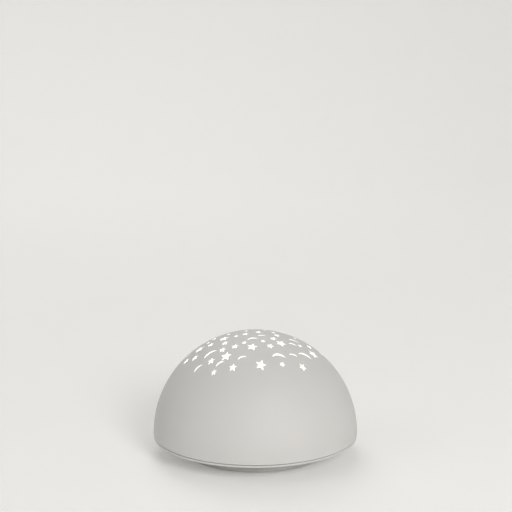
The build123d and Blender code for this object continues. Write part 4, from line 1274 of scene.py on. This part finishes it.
class NIGHTLIGHT_OT_dome(bpy.types.Operator):
    """Make the pierced dome with its posts and button collars"""

    bl_idname = "nightlight.dome"
    bl_label = "Pierced Dome"

    def execute(self, context):
        look = context.scene.night_light_shell
        inside = context.scene.night_light_inside
        # the second material paints a glow on the walls of the cut-outs
        dome = make_dome(look).finished(
            "dome", moulded_abs("ABS - spark-textured, shell", look.shell_colour),
            painted_glow_abs("ABS - cut wall, lit", look.shell_colour, inside.glow_colour, inside.wall_glow))
        declare(dome, "housing", "shell_plastic", "dome_shell")
        return {"FINISHED"}


class NIGHTLIGHT_OT_window(bpy.types.Operator):
    """Finish the clear star window, lit from inside"""

    bl_idname = "nightlight.window"
    bl_label = "Star Window"

    def execute(self, context):
        look = context.scene.night_light_inside
        paint(glowing_polystyrene("Polystyrene - frosted, lit", look.glow_colour, look.glow_strength),
              "star_window")
        return {"FINISHED"}


class NIGHTLIGHT_OT_base(bpy.types.Operator):
    """Finish the base and make its rubber feet"""

    bl_idname = "nightlight.base"
    bl_label = "Base and Feet"

    def execute(self, context):
        look = context.scene.night_light_shell
        paint(moulded_abs("ABS - spark-textured, base", look.base_colour), "base_housing")
        make_feet(silicone_rubber("Silicone rubber - press-moulded", look.rubber_colour))
        return {"FINISHED"}


class NIGHTLIGHT_OT_buttons(bpy.types.Operator):
    """Make the two push buttons and the raised marks on them"""

    bl_idname = "nightlight.buttons"
    bl_label = "Push Buttons"

    def execute(self, context):
        look = context.scene.night_light_shell
        material = satin_abs("ABS - vapour-blasted, buttons", look.button_colour)
        marks = rod_tree(satin_abs("ABS - raised marks", look.mark_colour))
        for name, route in (("power_button", power_mark()), ("colour_button", colour_mark())):
            cap = make_button(name, look).finished(name + "_cap", material)
            declare(cap, name, "button_plastic", name)
            mark = grown(name + "_mark", route, marks, radius=look.mark_radius, sides=12)
            declare(mark, name, "button_plastic")
        return {"FINISHED"}


class NIGHTLIGHT_OT_door(bpy.types.Operator):
    """Finish the battery door, its grip and its captive screw"""

    bl_idname = "nightlight.door"
    bl_label = "Battery Door"

    def execute(self, context):
        look = context.scene.night_light_shell
        inside = context.scene.night_light_inside
        material = moulded_abs("ABS - spark-textured, door", look.base_colour)
        paint(material, "battery_door")
        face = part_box("battery_door")[0][2]
        ridges = grown("door_grip", points([(0, GRIP_START, face + GRIP_SINK)]),
                       grip_tree(material), count=look.grip_count, pitch=look.grip_pitch)
        declare(ridges, "battery_door", "base_plastic")
        signs = grown("polarity_signs", polarity_marks(), rod_tree(material),
                      radius=SIGN_RADIUS * MM, sides=8)
        declare(signs, "battery_door", "base_plastic")
        place = middle_of("door_screw")
        place.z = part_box("door_screw")[0][2] + DOOR_SCREW["head_height"]
        screws("cover_screw", "door_screw", "door_screw", [place], inside, (0.0, 0.0, -1.0),
               **DOOR_SCREW)
        paint(zinc_plate("Steel - zinc plated washer", inside.steel_colour), "door_screw_washer")
        return {"FINISHED"}


class NIGHTLIGHT_OT_screws(bpy.types.Operator):
    """Make the screws of the housing and of both boards"""

    bl_idname = "nightlight.screws"
    bl_label = "Screws"

    def execute(self, context):
        look = context.scene.night_light_inside
        screws("case_screws", "housing", "housing_screws",
               around(POST_CIRCLE, 45, 4, CASE_SCREW_SEAT), look, (0.0, 0.0, -1.0))
        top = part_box("led_board")[1][2]
        screws("lamp_board_screws", "housing", "led_board_screws",
               around(LAMP_SCREW_CIRCLE, 90, 3, top), look, (0.0, 0.0, 1.0), **BOARD_SCREW)
        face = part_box("button_board")[1][1]
        screws("switch_board_screws", "housing", "button_board_screws",
               [(x, face, SWITCH_SCREW_HEIGHT) for x in (-SWITCH_SCREW_ASIDE, SWITCH_SCREW_ASIDE)],
               look, (0.0, 1.0, 0.0), **BOARD_SCREW)
        return {"FINISHED"}


class NIGHTLIGHT_OT_cells(bpy.types.Operator):
    """Make the three AA cells and finish their springs and plates"""

    bl_idname = "nightlight.cells"
    bl_label = "Cells and Contacts"

    def execute(self, context):
        look = context.scene.night_light_inside
        coats = (shrunk_sleeve("PVC sleeve - shrunk, dark", look.jacket_colour),
                 nickel_plate("Steel - nickel plated can", look.nickel_colour),
                 shrunk_sleeve("PVC sleeve - shrunk, pale line", linear("#D8D8D4")),
                 shrunk_sleeve("PVC sleeve - shrunk, band", look.band_colour),
                 black_epoxy("Fibre washer - punched", linear("#2B2A29")))
        for number in (1, 2, 3):
            cell = make_cell(f"battery_{number}").finished(f"cell_{number}", *coats)
            declare(cell, "housing", "cell_jacket", f"battery_{number}")
        paint(nickel_plate("Spring steel - nickel plated", look.nickel_colour), "positive_contact",
              "negative_contact", "left_link_contact", "right_link_contact", "battery_spring_1",
              "battery_spring_2", "battery_spring_3")
        return {"FINISHED"}


class NIGHTLIGHT_OT_boards(bpy.types.Operator):
    """Finish both circuit boards, what is soldered on them and the wires between them"""

    bl_idname = "nightlight.boards"
    bl_label = "Circuit Boards"

    def execute(self, context):
        look = context.scene.night_light_inside
        paint(solder_mask("Glass laminate - solder masked", look.board_colour), "led_board",
              "button_board")
        paint(black_epoxy("Epoxy - transfer-moulded", linear("#26262A")), "control_chip",
              "power_switch_case", "colour_switch_case")
        paint(fired_ceramic("Alumina - fired", linear("#2E2F33")), "board_resistors")
        paint(shrunk_sleeve("PVC sleeve - shrunk, capacitor", linear("#27324F")), "board_capacitor")
        paint(moulded_nylon("Nylon - moulded", linear("#EFE9D8")), "wire_header")
        paint(moulded_nylon("Acetal - moulded", linear("#C9BFA6")), "power_switch_plunger",
              "colour_switch_plunger")
        paint(extruded_pvc("PVC - extruded, red", linear("#B5201C")), "battery_wire_red")
        paint(extruded_pvc("PVC - extruded, black", linear("#242426")), "battery_wire_black")
        paint(extruded_pvc("PVC - extruded, white", linear("#E4E4E0")), "button_wires")
        return {"FINISHED"}


class NIGHTLIGHT_OT_lamps(bpy.types.Operator):
    """Finish the six coloured lamps"""

    bl_idname = "nightlight.lamps"
    bl_label = "Lamps"

    def execute(self, context):
        for colour, value in (("red", "#F4433C"), ("green", "#4CE070"), ("blue", "#3E66F5")):
            paint(tinted_epoxy("Epoxy - cast, " + colour, linear(value)), f"led_{colour}_1",
                  f"led_{colour}_2")
        return {"FINISHED"}


class NIGHTLIGHT_OT_stage(bpy.types.Operator):
    """Make the floor, lamps, world and camera"""

    bl_idname = "nightlight.stage"
    bl_label = "Stage"

    def execute(self, context):
        make_stage(context.scene.night_light_stage)
        return {"FINISHED"}


OPERATORS = (NIGHTLIGHT_OT_dome, NIGHTLIGHT_OT_window, NIGHTLIGHT_OT_base, NIGHTLIGHT_OT_buttons,
             NIGHTLIGHT_OT_door, NIGHTLIGHT_OT_screws, NIGHTLIGHT_OT_cells, NIGHTLIGHT_OT_boards,
             NIGHTLIGHT_OT_lamps, NIGHTLIGHT_OT_stage)
SETTINGS = {"night_light_shell": NightLightShell, "night_light_inside": NightLightInside,
            "night_light_stage": NightLightStage}


class NIGHTLIGHT_PT_panel(bpy.types.Panel):
    """Operators and settings of the night light"""

    bl_label = "Night Light"
    bl_idname = "NIGHTLIGHT_PT_panel"
    bl_space_type = "VIEW_3D"
    bl_region_type = "UI"
    bl_category = "Night Light"

    def draw(self, context):
        for operator in OPERATORS:
            self.layout.operator(operator.bl_idname)
        for name, group in SETTINGS.items():
            box = self.layout.box()
            box.label(text=group.__doc__)
            for setting in group.__annotations__:
                box.prop(getattr(context.scene, name), setting)


def register():
    """Add the settings, operators and panel."""
    for group in SETTINGS.values():
        bpy.utils.register_class(group)
    for name, group in SETTINGS.items():
        setattr(bpy.types.Scene, name, PointerProperty(type=group))
    for operator in OPERATORS:
        bpy.utils.register_class(operator)
    bpy.utils.register_class(NIGHTLIGHT_PT_panel)


def unregister():
    """Take them away again, the last first."""
    bpy.utils.unregister_class(NIGHTLIGHT_PT_panel)
    for operator in reversed(OPERATORS):
        bpy.utils.unregister_class(operator)
    for name, group in SETTINGS.items():
        delattr(bpy.types.Scene, name)
        bpy.utils.unregister_class(group)


def main():
    """Register, and run every operator in order."""
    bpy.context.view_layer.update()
    register()
    for operator in OPERATORS:
        group, name = operator.bl_idname.split(".")
        getattr(getattr(bpy.ops, group), name)()


if __name__ == "__main__":
    main()
